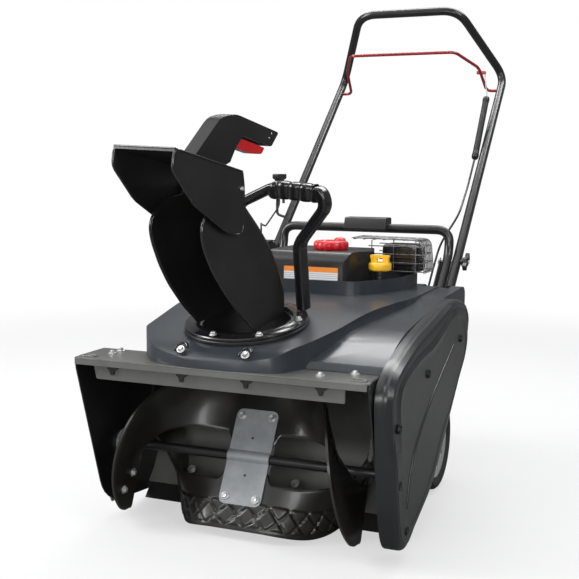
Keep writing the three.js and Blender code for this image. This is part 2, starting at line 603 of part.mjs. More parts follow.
function makeChute() {
  // The fixed collar stands in the shroud's hole; the chute's ring turns on it.
  add(tiltGroup, 'chute_collar', turned([
    [RING.bore - 10, -58], [RING.bore - 3, -58], [RING.bore - 3, -9], [RING.radius, -9], [RING.radius, -3],
    [RING.bore - 10, -3], [RING.bore - 10, -58]], 32, 'z', 0, 0, 0), BLACK_PLASTIC);
  add(chute, 'chute_ring', turned([
    [RING.bore - 6, GAP - 3], [RING.radius - 2, GAP - 3], [RING.radius - 2, 3], [RING.bore + 2, 5],
    [RING.bore - 6, 5], [RING.bore - 6, GAP - 3]], 32, 'z', 0, 0, 0), BLACK_PLASTIC);

  // Stations up the trough: height, half width at the front and the back, front edge, back wall.
  const stations = [
    [6, 66, 52, -60, 60], [50, 64, 53, -98, 61], [99, 62, 53, -131, 46], [140, 59, 53, -152, 27],
        [184, 57, 53, -167, -3],
    [211, 57, 53, -169, -24], [234, 56, 53, -156, -42], [250, 55, 53, -120, -55]];
  const wall = 4;
  const section = (station, d) => {
    const [z, wf, wb, front, back] = station;
    const r = 14;
    const corner = (sx, from) => {
      const list = [];
      for (let i = 0; i <= 3; i += 1) {
        const angle = (from + 30 * i) * RAD;
        list.push(new THREE.Vector3(
          sx * (wb - d - r) + r * Math.cos(angle), back - d - r + r * Math.sin(angle), z));
      }
      return list;
    };
    return [
      new THREE.Vector3(-(wf - d), front, z), new THREE.Vector3(-(wb + wf) / 2 + d, (front + back) / 2, z),
      ...corner(-1, 90).reverse(), ...corner(1, 0).reverse(),
      new THREE.Vector3((wb + wf) / 2 - d, (front + back) / 2, z), new THREE.Vector3(wf - d, front, z)];
  };
  const trough = sheetSolid(stations.map((s) => section(s, 0)), stations.map((s) => section(s, wall)));
  const hinge = DEFLECTOR.hinge;
  const ear = outline([[-96, 214], [-52, 214], [-54, 262, 6], [-62, 272, 6], [-72, 272, 6], [-84, 250, 8]]);
  const pinHole = rod(DEFLECTOR.pin + GAP, 200, 12, 'x', -100, ...hinge);
  add(chute, 'chute_trough', cut(join(trough, alongX(ear, -56, -51), alongX(ear, 51, 56)), pinHole),
      BLACK_PLASTIC);

  add(chute, 'hinge_pin', rod(DEFLECTOR.pin, 2 * DEFLECTOR.half + 8, 14, 'x', -DEFLECTOR.half - 4,
      ...hinge), ZINC);

  // A loop handle behind the trough, for turning the whole chute.
  const y = 86;
  const loop = bentRod([
    [70, y, 5.5], [70, y, 132], [132, y, 204], [124, y, 232], [24, y, 235], [-58, y - 8, 198],
        [-46, 52, 176]],
  11, 22, 10, 3);
  add(chute, 'chute_handle', loop, BLACK_PLASTIC);
}

const DEFLECTOR = { half: 65, wall: 3.5, hinge: [-66, 262], pin: 3.5 };

function makeDeflector() {
  const { half, wall, hinge, pin } = DEFLECTOR;
  const side = outline([
    [-221, 356], [-232, 324, 6], [-190, 260, 20], [-118, 200, 20], [-86, 185, 20], [-70, 188, 12],
        [-58, 262, 12],
    [-60, 290, 4]]);
  const body = alongX(side, -half, half);
  const inner = alongX(outline([
    [-260, 330], [-190, 240], [-118, 100], [-20, 100], [-20, 262], [-64, 286.5],
        [-219.5, 352]]), -half + wall, half - wall);
  const pinHole = rod(pin + GAP, 2 * half + 40, 16, 'x', -half - 20, ...hinge);
  add(chute, 'deflector', cut(body, inner, pinHole), BLACK_PLASTIC);

  const lid = (y) => 290 + (356 - 290) * (-60 - y) / 161;
  const grip = outline([
    [-128, lid(-128) + 1], [-44, 377, 14], [-4, 378, 16], [119, 327, 6], [93, 305, 4], [84, 309, 4],
        [16, 337, 4],
    [-8, 322, 10], [-28, lid(-60) + 8], [-60, lid(-60) + 1]]);
  const pocket = outline([[-9, 317], [2, 346], [84, 312], [84, 298]]);
  add(chute, 'deflector_grip', cut(alongX(grip, -15, 15), alongX(pocket, -10, 10)), BLACK_PLASTIC);
  const trigger = outline([
    [14, 332, 3], [-4, 320, 5], [20, 309, 4], [40, 301, 5], [70, 295, 5], [80, 305, 3]]);
  add(chute, 'deflector_trigger', alongX(trigger, -9, 9), RED_PLASTIC);
}

// ---------------------------------------------------------------- engine
function makeEngine() {
  const { left, right, front, rear, top } = ENGINE;
  const base = CHASSIS.deck + GAP;
  const block = alongX(outline([
    [front + 4, base], [rear, base], [rear, top - GAP], [front + 30, top - GAP],
        [front + 4, top - 40]], 6), left, right);
  add(machine, 'engine_block', block, ALLOY);

  const roof = ENGINE_ROOF;
  add(machine, 'engine_cover', common(
    alongZ(outline([
      [-128, 236, 18], [84, 236, 18], [110, 330, 20], [110, 356, 14], [98, 368, 14], [98, 404, 14],
          [-128, 404, 18]]),
    top, roof),
    alongX(outline([[228, top], [420, top], [420, roof], [254, roof, 14], [238, roof - 18, 10],
        [238, roof - 48]]), -200, 200),
    alongY(outline([
      [-128, top], [134, top], [134, roof - 30, 12], [112, roof, 14], [-112, roof, 14],
          [-128, roof - 26, 12]]), 200, 440),
  ), BLACK_PLASTIC);

  const cap = { x: 22, y: 318, z: ENGINE_ROOF + GAP };
  const lobes = new THREE.Shape();
  for (let i = 0; i < 48; i += 1) {
    const angle = i * 7.5 * RAD;
    const radius = 36 - (i % 4 === 0 ? 2.5 : 0);
    const [a, b] = [cap.x + radius * Math.cos(angle), cap.y + radius * Math.sin(angle)];
    if (i === 0) lobes.moveTo(a, b);
    else lobes.lineTo(a, b);
  }
  lobes.closePath();
  add(machine, 'fuel_cap', alongZ(lobes, cap.z, cap.z + 20), RED_PLASTIC);
  add(machine, 'choke_knob', turned([
    [0, 0], [5, 0], [5, 6], [13, 9], [13, 19], [9, 22],
        [0, 22]], 20, 'z', 18, 388, ENGINE_ROOF + GAP), RED_PLASTIC);

  const oil = { x: 140, y: 300, z: top + 38 };
  add(machine, 'oil_tube', alongZ(circle(oil.x, oil.y, 12), top - 76, oil.z), BLACK_PLASTIC);
  const stem = alongZ(circle(oil.x, oil.y, 24), oil.z + GAP, oil.z + 20);
  const wing = alongY(outline([
    [oil.x - 20, oil.z + 18], [oil.x + 20, oil.z + 18], [oil.x + 20, oil.z + 34],
        [oil.x - 20, oil.z + 34]], 5), oil.y - 5, oil.y + 5);
  const slot = box(oil.x - 9, oil.x + 9, oil.y - 20, oil.y + 20, oil.z + 22, oil.z + 28);
  add(machine, 'oil_cap', cut(join(stem, wing), slot), YELLOW_PLASTIC);

  add(machine, 'muffler', alongX(outline([
    [402, top + 24], [470, top + 24], [470, top + 88], [402, top + 88]], 18), 112, 196), BLACK_PAINT);
  makeGuard();

  const starter = turned([
    [0, 0], [96, 0], [96, 26], [88, 36], [30, 44], [0, 44]], 32, 'x', 0, 0, 0).rotateZ(180 * RAD);
  starter.translate(left - GAP, 322, top - 2);
  const under = box(-400, left + 1, 100, 600, base - 130, base);
  const beside = box(left - 11, left + 1, 100, 600, top - 1, ENGINE_ROOF + 12);
  add(machine, 'recoil_housing', cut(starter, under, beside), BLACK_PLASTIC);
}

function makeGuard() {
  // Bent wires over the muffler, welded into one cage that stands on the shroud's collar.
  const wires = [];
  const [x0, x1, y0, y1] = [42, 206, 394, 480];
  const [z0, z1] = [ENGINE.top + 24, ENGINE_ROOF + 22];
  for (let i = 0; i < 5; i += 1) {
    const y = y0 + (y1 - y0) * i / 4;
    wires.push(bentRod([[x0, y, z1], [x1, y, z1], [x1 + 6, y, z0]], 1.6, 16, 4, 2));
  }
  for (let i = 0; i < 4; i += 1) {
    const x = x0 + 3 + (x1 - x0 - 18) * i / 3;
    wires.push(bentRod([[x, y0 - 3, z1 - 0.6], [x, y1 + 3, z1 - 0.6]], 1.6, 4, 4, 1));
  }
  for (const z of [z0 + 4, z0 + 42]) {
    const x = x1 + 6 * (z1 - z) / (z1 - z0);
    wires.push(bentRod([[x, y0 - 3, z], [x, y1 + 3, z]], 1.6, 4, 4, 1));
  }
  add(machine, 'muffler_guard', join(...wires), ZINC);
}

// ---------------------------------------------------------------- handles
const boltHole = (y, radius) => rod(radius + GAP, 700, 16, 'x', -350, y, legZ(y));

function makeHandles() {
  const x = LOWER_TUBE_X;
  const lowerHandle = bentRod([
    [x, 440, legZ(440)], [x, 618, legZ(618)], [x, CROSSBAR.y, CROSSBAR.z], [-x, CROSSBAR.y, CROSSBAR.z],
    [-x, 618, legZ(618)], [-x, 440, legZ(440)]], TUBE, 34, 12, 3);
  add(machine, 'lower_handle', cut(lowerHandle, boltHole(WING_Y, BOLT)), BLACK_PAINT);

  const bend = { y: GRIP_BEND.y, z: legZ(GRIP_BEND.y) };
  const upperHandle = bentRod([
    [LEG.x, LEG.y, LEG.z], [LEG.x, bend.y, bend.z], [GRIP_BAR.x, GRIP_BAR.y, GRIP_BAR.z],
    [-GRIP_BAR.x, GRIP_BAR.y, GRIP_BAR.z], [-LEG.x, bend.y, bend.z], [-LEG.x, LEG.y, LEG.z]],
  TUBE, 46, 12, 4, TUBE - TUBE_WALL);
  add(machine, 'upper_handle', cut(upperHandle, boltHole(WING_Y, BOLT), boltHole(BAIL.y, BAIL.wire)),
      BLACK_PAINT);

  for (const [name, sign] of [['left', -1], ['right', 1]]) {
    const start = CHASSIS.x - STEEL - 5;
    const end = LEG.x + TUBE + 16;
    const bolt = turned([
      [0, 0], [9, 0], [9, 5 - GAP], [BOLT, 5 - GAP], [BOLT, end - start],
          [0, end - start]], 16, 'x', 0, 0, 0);
    if (sign < 0) bolt.rotateZ(180 * RAD);
    add(machine, `handle_bolt_${name}`, bolt.translate(sign * start, WING_Y, legZ(WING_Y)), ZINC);
    const knobX = LEG.x + TUBE + 1;
    const hub = turned([
      [BOLT + GAP, 0], [10, 0], [11, 14], [BOLT + GAP, 14], [BOLT + GAP, 0]], 20, 'x', 0, 0, 0);
    const wings = alongX(outline([[-24, 6], [-20, -9], [20, -6], [24, 9], [12, 8], [-12, 6]], 5), 8, 16);
    const clear = rod(BOLT + GAP, 60, 20, 'x', -10, 0, 0);
    const knob = cut(join(hub, wings), clear);
    if (sign < 0) knob.rotateZ(180 * RAD);
    add(machine, `wing_knob_${name}`, knob.rotateX(35 * RAD).translate(sign * knobX, WING_Y,
        legZ(WING_Y)), BLACK_PLASTIC);
  }

  const z = legZ(BAIL.y);
  const half = [
    [LEG.x, BAIL.y, z], [LEG.x - 37.6, BAIL.y, z], [LEG.x - 47.6, 1028, LEG.z + 555],
    [BAIL.barX, BAIL.barY, BAIL.barZ]];
  const mirrored = half.map(([a, b, c]) => [-a, b, c]).reverse();
  add(machine, 'bail', bentRod([...half, ...mirrored], BAIL.wire, 14, 8, 3), RED_PAINT);
}

function makeControls() {
  // The switch box sits over the crossbar.
  const shell = alongX(outline([
    [CROSSBAR.y - 30, CROSSBAR.z - 4], [CROSSBAR.y + 26, CROSSBAR.z - 4],
        [CROSSBAR.y + 26, CROSSBAR.z + 26],
    [CROSSBAR.y - 20, CROSSBAR.z + 26]], 6), SWITCH_BOX.left, SWITCH_BOX.right);
  const groove = rod(TUBE + GAP, 300, 28, 'x', -150, CROSSBAR.y, CROSSBAR.z);
  const open = box(-150, 150, CROSSBAR.y - TUBE - GAP, CROSSBAR.y + TUBE + GAP, CROSSBAR.z - 30,
      CROSSBAR.z);
  const buttonX = SWITCH_BOX.left + 36;
  const keyX = SWITCH_BOX.left + 76;
  const well = alongY(circle(buttonX, CROSSBAR.z + 15, 9), CROSSBAR.y + 14, CROSSBAR.y + 40);
  const keyWell = alongY(circle(keyX, CROSSBAR.z + 15, 6.8), CROSSBAR.y + 14, CROSSBAR.y + 40);
  add(machine, 'control_box', cut(shell, groove, open, well, keyWell), BLACK_PLASTIC);
  const face = CROSSBAR.y + 26;
  add(machine, 'start_button', alongY(circle(buttonX, CROSSBAR.z + 15, 8.5), face - 6, face + 5),
      RED_PLASTIC);
  const key = join(
    alongY(circle(keyX, CROSSBAR.z + 15, 5.5), face - 10, face + 4),
    box(keyX - 1.5, keyX + 1.5, face + 3, face + 22, CROSSBAR.z + 6, CROSSBAR.z + 24));
  add(machine, 'ignition_key', key, RED_PLASTIC);

  // The clutch cable: a wire from the bail, a boot over its spring, then the jacket down to the chassis.
  const side = LEG.x - TUBE - 9.6;
  const up = LEG.z - 408;
  const bootTop = [side, 1010, 880 + up];
  const bootEnd = [side, 880, 716 + up];
  add(machine, 'cable_wire', bentRod([
    [side - 12, 1040, 947 + up], [side, bootTop[1] + 6, bootTop[2] + 8], bootTop,
        [side, 990, 854.8 + up]], 1.5, 6, 8, 2), ZINC);
  const boot = bentRod([bootTop, bootEnd], 8.5, 4, 14, 1);
  const bore = bentRod([
    [side, 1010 + 13, 880 + 16.4 + up], [side, 945, 798 + up]], 4, 4, 10, 1);
  add(machine, 'cable_boot', cut(boot, bore), BLACK_PLASTIC);
  add(machine, 'cable_jacket', bentRod([
    [side, 879.8, 715.7 + up], [side, 800, 640 + up], [side + 2, 700, 575 + up], [side - 29, 640, 505 + up],
    [side - 37, 600, 440 + up], [side - 37, 560, 400 + up],
        [side - 37, 520, 372 + up]], 2.5, 26, 8, 3), BLACK_PLASTIC);

  // Recoil starter: eyelet on the left leg, rope down to the recoil housing, grip above the eyelet.
  const eye = [-LEG.x - 24.4, 700, LEG.z + 184];
  const hookY = eye[1] + 7;
  const guide = join(
    bentRod([[-LEG.x - TUBE - 1.5, hookY, legZ(hookY)], [eye[0] - 9, hookY, legZ(hookY) + 6],
      [eye[0] - 9, hookY, eye[2] + 16], [eye[0] + 9, hookY, eye[2] + 16],
          [eye[0] + 9, hookY, eye[2] + 1]], 3.5, 8, 8, 2));
  add(machine, 'rope_guide', guide, BLACK_PAINT);
  add(machine, 'starter_grip', alongX(outline([
    [eye[1] - 9, eye[2] + 22], [eye[1] + 9, eye[2] + 22], [eye[1] + 13, eye[2] + 62],
        [eye[1] + 30, eye[2] + 66],
    [eye[1] + 30, eye[2] + 78], [eye[1] - 30, eye[2] + 78], [eye[1] - 30, eye[2] + 66],
        [eye[1] - 13, eye[2] + 62]], 4),
  eye[0] - 8, eye[0] + 8), BLACK_PLASTIC);
  add(machine, 'starter_rope', bentRod([
    [eye[0], eye[1], eye[2] + 21.7], [eye[0], eye[1], eye[2] - 6], [eye[0] + 22, 560, eye[2] - 52],
    [-190, 420, ENGINE_ROOF + 44], [-150, 328, ENGINE_ROOF + 52], [-150, 328, ENGINE_ROOF + 17]],
  2, 14, 8, 3), BLACK_PLASTIC);
}

makeHousing();
makeAuger();
makeDrive();
makeBeltCover();
makeChassis();
makeWheels();
makeShroud();
makeChute();
makeDeflector();
makeEngine();
makeHandles();
makeControls();

// The origin is the middle of the footprint, on the ground.
machine.updateMatrixWorld(true);
const bounds = new THREE.Box3().setFromObject(machine, true);
machine.position.set(-(bounds.min.x + bounds.max.x) / 2, -(bounds.min.y + bounds.max.y) / 2, -bounds.min.z);
machine.updateMatrixWorld(true);

export default machine;
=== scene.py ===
# %% [markdown]
# # A walk-behind snow blower, dressed around its packed frame
# The CAD model gives every piece its place and its motion. This lesson adds the look: it loads that frame,
# then replaces or re-covers each piece with a finer surface, and gives each one a procedural finish.

# %% Load the frame
import json
import math

import bmesh
import bpy
import numpy as np
from mathutils import Matrix, Vector

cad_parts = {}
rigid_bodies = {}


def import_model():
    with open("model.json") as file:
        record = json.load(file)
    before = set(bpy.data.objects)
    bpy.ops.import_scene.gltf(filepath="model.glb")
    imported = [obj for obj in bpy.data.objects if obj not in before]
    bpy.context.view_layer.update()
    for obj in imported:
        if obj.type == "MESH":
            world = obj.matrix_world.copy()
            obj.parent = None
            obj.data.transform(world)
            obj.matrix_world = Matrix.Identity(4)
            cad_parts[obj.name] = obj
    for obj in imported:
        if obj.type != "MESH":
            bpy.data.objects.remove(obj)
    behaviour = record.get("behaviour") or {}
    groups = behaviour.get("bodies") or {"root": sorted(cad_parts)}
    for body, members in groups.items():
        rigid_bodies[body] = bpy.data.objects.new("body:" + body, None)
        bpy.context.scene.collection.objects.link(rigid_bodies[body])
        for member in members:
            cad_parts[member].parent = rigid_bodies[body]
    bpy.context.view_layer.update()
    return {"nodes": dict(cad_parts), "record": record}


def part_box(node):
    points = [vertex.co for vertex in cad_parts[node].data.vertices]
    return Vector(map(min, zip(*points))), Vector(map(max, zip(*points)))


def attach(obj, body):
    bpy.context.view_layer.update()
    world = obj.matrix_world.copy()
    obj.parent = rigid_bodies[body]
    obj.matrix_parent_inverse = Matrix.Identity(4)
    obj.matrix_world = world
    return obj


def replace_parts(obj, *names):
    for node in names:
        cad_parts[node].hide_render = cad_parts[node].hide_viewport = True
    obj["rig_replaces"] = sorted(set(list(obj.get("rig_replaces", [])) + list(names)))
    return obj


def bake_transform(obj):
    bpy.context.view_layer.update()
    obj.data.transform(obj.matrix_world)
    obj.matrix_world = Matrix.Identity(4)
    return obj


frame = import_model()

# %% [markdown]
# ## One drawing frame
# The pieces were drawn in millimetres from the machine's middle plane, with the auger's axis 58 mm in front
# of the drawing's zero. Two CAD nodes tell where that drawing lies in the packed frame: the handle is
# symmetric about the middle plane, and the auger's shaft gives the front to back place. Working in the
# drawing's own numbers keeps each measurement readable, and one function carries them all into the frame.

# %% The drawing's place
def middle(node):
    low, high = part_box(node)
    return (np.array(low) + np.array(high)) / 2


ORIGIN = np.array([middle("upper_handle")[0], middle("auger_shaft")[1] + 0.058, 0.0])


def place(points):
    """Drawing millimetres to frame metres: scale by a thousandth, then add the drawing's origin."""
    return np.asarray(points, float) / 1000 + ORIGIN


print("drawing origin", ORIGIN.round(4))

# %% [markdown]
# ## The camera
# A camera is a position, a turn and a focal length. This one stands a little above the auger and looks at
# the machine from its front right, so the auger mouth, the chute and the belt side all show. The lens is
# the sensor's width times the focal share, which is the focal length for each unit of the picture's width.

# %% Camera
AZIMUTH, ELEVATION, ROLL = map(math.radians, (22.14, 6.91, 0.51))
SENSOR, FOCAL_SHARE = 36.0, 1.68394
CAMERA_PLACE = (742, -1691, 677)


def camera_matrix(position):
    """Rows of right, up and back vectors turned by the azimuth, the elevation and the roll."""
    level = math.cos(ELEVATION)
    back = Vector((math.sin(AZIMUTH) * level, -math.cos(AZIMUTH) * level, math.sin(ELEVATION)))
    right = Vector((math.cos(AZIMUTH), math.sin(AZIMUTH), 0.0))
    up = back.cross(right)
    turned_right = right * math.cos(ROLL) + up * math.sin(ROLL)
    turned_up = up * math.cos(ROLL) - right * math.sin(ROLL)
    rotation = Matrix((turned_right, turned_up, back)).transposed().to_4x4()
    return Matrix.Translation(position) @ rotation


camera = bpy.data.objects.new("camera", bpy.data.cameras.new("camera"))
bpy.context.scene.collection.objects.link(camera)
camera.data.sensor_width = SENSOR
camera.data.lens = SENSOR * FOCAL_SHARE
camera.data.clip_end = 30
camera.matrix_world = camera_matrix(place(CAMERA_PLACE))
bpy.context.scene.camera = camera
print("lens", round(camera.data.lens, 2), "mm")

# %% [markdown]
# ## Floor and light
# Black plastic shows mostly what it reflects, so the light is a studio tent: a dim world, four soft panels
# that draw lines along the edges, and one wide sun. The camera sees the world as white, and the floor glows
# more the further away it is, so that the floor meets the backdrop without a line. Only this stage asks
# which kind of ray is looking, and no piece of the machine does.

# %% Floor and light
def panel(name, position, target, size, power):
    """A soft box: an area light whose back vector points away from its target."""
    lamp = bpy.data.objects.new(name, bpy.data.lights.new(name, "AREA"))
    lamp.data.shape = "RECTANGLE"
    lamp.data.size, lamp.data.size_y = size
    lamp.data.energy = power
    aim = Vector(position) - Vector(target)
    lamp.matrix_world = Matrix.Translation(position) @ aim.to_track_quat("Z", "Y").to_matrix().to_4x4()
    bpy.context.scene.collection.objects.link(lamp)


bpy.context.scene.view_settings.view_transform = "Standard"
world = bpy.data.worlds.new("studio")
bpy.context.scene.world = world
world.use_nodes = True
ambient = world.node_tree.nodes["Background"]
ambient.inputs["Color"].default_value = (0.96, 0.98, 1.0, 1)
ambient.inputs["Strength"].default_value = 0.24
backdrop = world.node_tree.nodes.new("ShaderNodeBackground")
backdrop.inputs["Color"].default_value = (1, 1, 1, 1)
backdrop.inputs["Strength"].default_value = 1.0
seen_directly = world.node_tree.nodes.new("ShaderNodeLightPath")
either = world.node_tree.nodes.new("ShaderNodeMixShader")
world.node_tree.links.new(seen_directly.outputs["Is Camera Ray"], either.inputs[0])
world.node_tree.links.new(ambient.outputs[0], either.inputs[1])
world.node_tree.links.new(backdrop.outputs[0], either.inputs[2])
world.node_tree.links.new(either.outputs[0], world.node_tree.nodes["World Output"].inputs["Surface"])
panel("left panel", (-2.6, -1.7, 2.1), (0, -0.2, 0.4), (0.8, 2.6), 105)
panel("right panel", (2.6, -1.6, 2.3), (0, -0.1, 0.4), (0.4, 2.4), 46)
panel("top panel", (0.1, 1.2, 2.4), (0, -0.1, 0.4), (2.6, 0.5), 46)
panel("front fill", (0.5, -2.9, 0.9), (0, -0.4, 0.2), (2.6, 0.5), 34)
sun = bpy.data.objects.new("soft sun", bpy.data.lights.new("soft sun", "SUN"))
sun.data.energy = 1.1
sun.data.angle = math.radians(70)
sun.matrix_world = Vector((-0.35, -0.25, 1.0)).to_track_quat("Z", "Y").to_matrix().to_4x4()
bpy.context.scene.collection.objects.link(sun)
FLOOR_REACH, FLOOR_DROP = 40.0, 0.0005
floor_mesh = bpy.data.meshes.new("floor")
floor_corners = [(sx * FLOOR_REACH, sy * FLOOR_REACH, -FLOOR_DROP)
                 for sx, sy in ((-1, -1), (1, -1), (1, 1), (-1, 1))]
floor_mesh.from_pydata(floor_corners, [], [(0, 1, 2, 3)])
floor = bpy.data.objects.new("floor", floor_mesh)
bpy.context.scene.collection.objects.link(floor)
print("lamps and floor ready")

# %% [markdown]
# ## Shader maths as Python expressions
# A finish is easier to read as a formula than as boxes and wires. A small class wraps one socket and
# overloads the arithmetic operators, so that `0.4 + 0.2 * speck` adds its own Math nodes. Every other node
# comes from one method that takes the node's type, its settings and the values of its sockets.

# %% The socket wrapper
class Signal:
    """A socket's value in a material, with arithmetic that adds Math nodes."""

    def __init__(self, tree, socket):
        self.tree, self.socket = tree, socket

    def step(self, kind, settings=None, sockets=None, out=0):
        """Adds one node: its settings first, then its sockets' values or links."""
        node = self.tree.nodes.new(kind)
        for key, value in (settings or {}).items():
            if key == "stops":
                for index, (position, colour) in enumerate(value):
                    stops = node.color_ramp.elements
                    stop = stops[index] if index < 2 else stops.new(position)
                    stop.position, stop.color = position, colour
            else:
                setattr(node, key, value)
        for key, value in (sockets or {}).items():
            if isinstance(value, Signal):
                self.tree.links.new(value.socket, node.inputs[key])
            else:
                node.inputs[key].default_value = value
        return Signal(self.tree, node.outputs[out])

    def maths(self, operation, *values):
        return self.step("ShaderNodeMath", {"operation": operation}, dict(enumerate(values)))

    def __add__(self, other):
        return self.maths("ADD", self, other)

    def __radd__(self, other):
        return self.maths("ADD", other, self)

    def __sub__(self, other):
        return self.maths("SUBTRACT", self, other)

    def __rsub__(self, other):
        return self.maths("SUBTRACT", other, self)

    def __mul__(self, other):
        return self.maths("MULTIPLY", self, other)

    def __rmul__(self, other):
        return self.maths("MULTIPLY", other, self)

    def __gt__(self, other):
        return self.maths("GREATER_THAN", self, other)

    def __lt__(self, other):
        return self.maths("LESS_THAN", self, other)

    def noise(self, scale, detail=3.0, roughness=0.55):
        """Noise on this position, with scale in cycles for each metre."""
        return self.step("ShaderNodeTexNoise", {}, {"Vector": self, "Scale": scale, "Detail": detail,
                                                    "Roughness": roughness})

    def between(self, low, high):
        """0 below low, 1 above high, and a smooth step from one to the other."""
        return self.step("ShaderNodeMapRange", {"interpolation_type": "SMOOTHSTEP"},
                         {"Value": self, "From Min": low, "From Max": high})

    def mix(self, first, second):
        """The first colour where this is 0, the second where it is 1."""
        return self.step("ShaderNodeMix", {"data_type": "RGBA"}, {0: self, 6: first, 7: second}, 2)


def rgba(colour):
    return (*colour, 1.0)


def new_material(name):
    """A material, its main shader and the object coordinates as a signal."""
    material = bpy.data.materials.new(name)
    material.use_nodes = True
    tree = material.node_tree
    shader = tree.nodes["Principled BSDF"]
    spot = Signal(tree, None).step("ShaderNodeTexCoord", out="Object")
    return material, shader, spot


def wire(shader, **links):
    """Links signals into the shader's sockets, or sets its constants there."""
    for key, value in links.items():
        socket = shader.inputs[key.replace("_", " ")]
        if isinstance(value, Signal):
            value.tree.links.new(value.socket, socket)
        else:
            socket.default_value = value


print("signal methods", sorted(name for name in vars(Signal) if name.isalpha()))

# %% [markdown]
# ## The finishes
# Moulded plastic is never one flat colour: the mould's texture breaks the highlight, handling polishes some
# areas, and dust dulls others. Each finish mixes two near tones on a slow noise, moves the roughness on a
# second noise, and presses a fine grain into the normal. Constants that are the same everywhere, such as a
# coat's roughness, go straight on the shader's own sockets.

# %% Finishes
def surface_finish(name, dark, light, roughness, spread=0.12, metallic=0.0, patch=9.0, grain=1400.0,
                   press=0.06, coat=0.0, scuff=0.0):
    """Tone from slow noise, roughness from middle noise, bump from fine grain, and pale scuffs."""
    material, shader, spot = new_material(name)
    slow = spot.noise(patch, 4.0)
    fine = spot.noise(grain, 2.0)
    smear = spot.noise(patch * 5.0, 5.0, 0.65)
    colour = slow.between(0.3, 0.7).mix(rgba(dark), rgba(light))
    if scuff:
        marks = spot.noise(patch * 22.0, 6.0, 0.75).between(0.62, 0.72) * smear.between(0.5, 0.7) * scuff
        colour = marks.mix(colour, rgba([min(1.0, 4.0 * c + 0.05) for c in light]))
    bump = spot.step("ShaderNodeBump", {}, {"Height": fine, "Strength": press, "Distance": 0.0006})
    wire(shader, Base_Color=colour, Roughness=roughness + spread * (smear - 0.5), Metallic=metallic,
         Normal=bump, Coat_Weight=coat, Coat_Roughness=0.12)
    return material


black_plastic = surface_finish("moulded black plastic", (0.008, 0.008, 0.0085), (0.014, 0.0135, 0.013),
                               0.36, press=0.10, scuff=0.15)
gloss_black = surface_finish("gloss black plastic", (0.006, 0.006, 0.007), (0.010, 0.010, 0.011), 0.22,
                             0.08, press=0.05, coat=0.25)
shroud_plastic = surface_finish("blue grey plastic", (0.022, 0.027, 0.033), (0.030, 0.036, 0.043), 0.32,
                                0.10, press=0.08, coat=0.12)
black_paint = surface_finish("black powder coat", (0.008, 0.008, 0.0085), (0.013, 0.013, 0.014), 0.30, 0.12,
                             grain=2600.0, press=0.10, coat=0.2, scuff=0.12)
auger_rubber = surface_finish("auger rubber", (0.007, 0.0062, 0.0055), (0.016, 0.0142, 0.0125), 0.34, 0.18,
                              patch=12.0, grain=900.0, press=0.10, coat=0.2)
tyre_rubber = surface_finish("tyre rubber", (0.011, 0.011, 0.011), (0.019, 0.019, 0.018), 0.72, 0.12,
                             press=0.2, scuff=0.3)
plate_steel = surface_finish("coated plate", (0.24, 0.255, 0.262), (0.31, 0.325, 0.335), 0.45, 0.18,
                             metallic=0.25, patch=25.0, press=0.06, scuff=0.10)
zinc_steel = surface_finish("zinc plate", (0.50, 0.51, 0.52), (0.68, 0.68, 0.67), 0.34, 0.2, metallic=0.75,
                            patch=60.0, press=0.03)
black_zinc = surface_finish("blackened wire", (0.10, 0.10, 0.10), (0.34, 0.34, 0.34), 0.28, 0.2,
                            metallic=0.9, patch=40.0, press=0.03)
red_plastic = surface_finish("red plastic", (0.50, 0.006, 0.010), (0.62, 0.010, 0.014), 0.28, 0.08,
                             press=0.05, coat=0.3)
red_paint = surface_finish("dark red coat", (0.24, 0.006, 0.010), (0.34, 0.010, 0.014), 0.25, 0.1,
                           press=0.04, coat=0.4)
yellow_plastic = surface_finish("yellow plastic", (0.80, 0.44, 0.010), (0.90, 0.53, 0.020), 0.32, 0.1,
                                press=0.05, coat=0.2)
rim_plastic = surface_finish("pale grey plastic", (0.30, 0.31, 0.32), (0.42, 0.43, 0.44), 0.45, 0.12,
                             press=0.08, scuff=0.1)
# Pale grey on the black-painted housing, flange, lip and pads: painted sheen for the light their tops
# reflect.
painted_sheen_grey = surface_finish("grey coat with painted sheen", (0.11, 0.11, 0.104), (0.15, 0.15, 0.142), 0.32, 0.1,
                            metallic=0.2, grain=2600.0, press=0.08, scuff=0.15)
cast_alloy = surface_finish("cast alloy", (0.28, 0.28, 0.29), (0.42, 0.42, 0.43), 0.45, 0.2, metallic=0.9,
                            patch=40.0, grain=700.0, press=0.25)
FLOOR_FADE = (1.5, 3.0)
floor_finish, floor_shader, floor_spot = new_material("pale floor")
floor_tree = floor_spot.tree
glow = floor_spot.step("ShaderNodeEmission", {}, {"Strength": 1.0})
away = floor_spot.step("ShaderNodeVectorMath", {"operation": "LENGTH"}, {0: floor_spot}, 1)
direct = floor_spot.step("ShaderNodeLightPath")
wire(floor_shader, Base_Color=direct.mix(rgba((0.16, 0.16, 0.16)), rgba((0.66, 0.66, 0.66))), Roughness=0.7)
share = direct * (0.55 + 0.45 * away.between(*FLOOR_FADE))
floor_mix = floor_spot.step("ShaderNodeMixShader", {},
                            {0: share, 1: Signal(floor_tree, floor_shader.outputs[0]), 2: glow})
floor_tree.links.new(floor_mix.socket, floor_tree.nodes["Material Output"].inputs["Surface"])
floor_mesh.materials.append(floor_finish)
FINISH_OF_SLOT = {
    "black_paint": black_paint, "black_plastic": black_plastic, "shroud_plastic": shroud_plastic,
    "auger_rubber": auger_rubber, "tyre": tyre_rubber, "plate_steel": plate_steel, "zinc_steel": zinc_steel,
    "red_plastic": red_plastic, "red_paint": red_paint, "yellow_plastic": yellow_plastic,
    "rim_plastic": rim_plastic, "cast_alloy": cast_alloy}
SLOT_OF_NODE = {row["node"]: row["material_slot"] for row in frame["record"]["subparts"]}
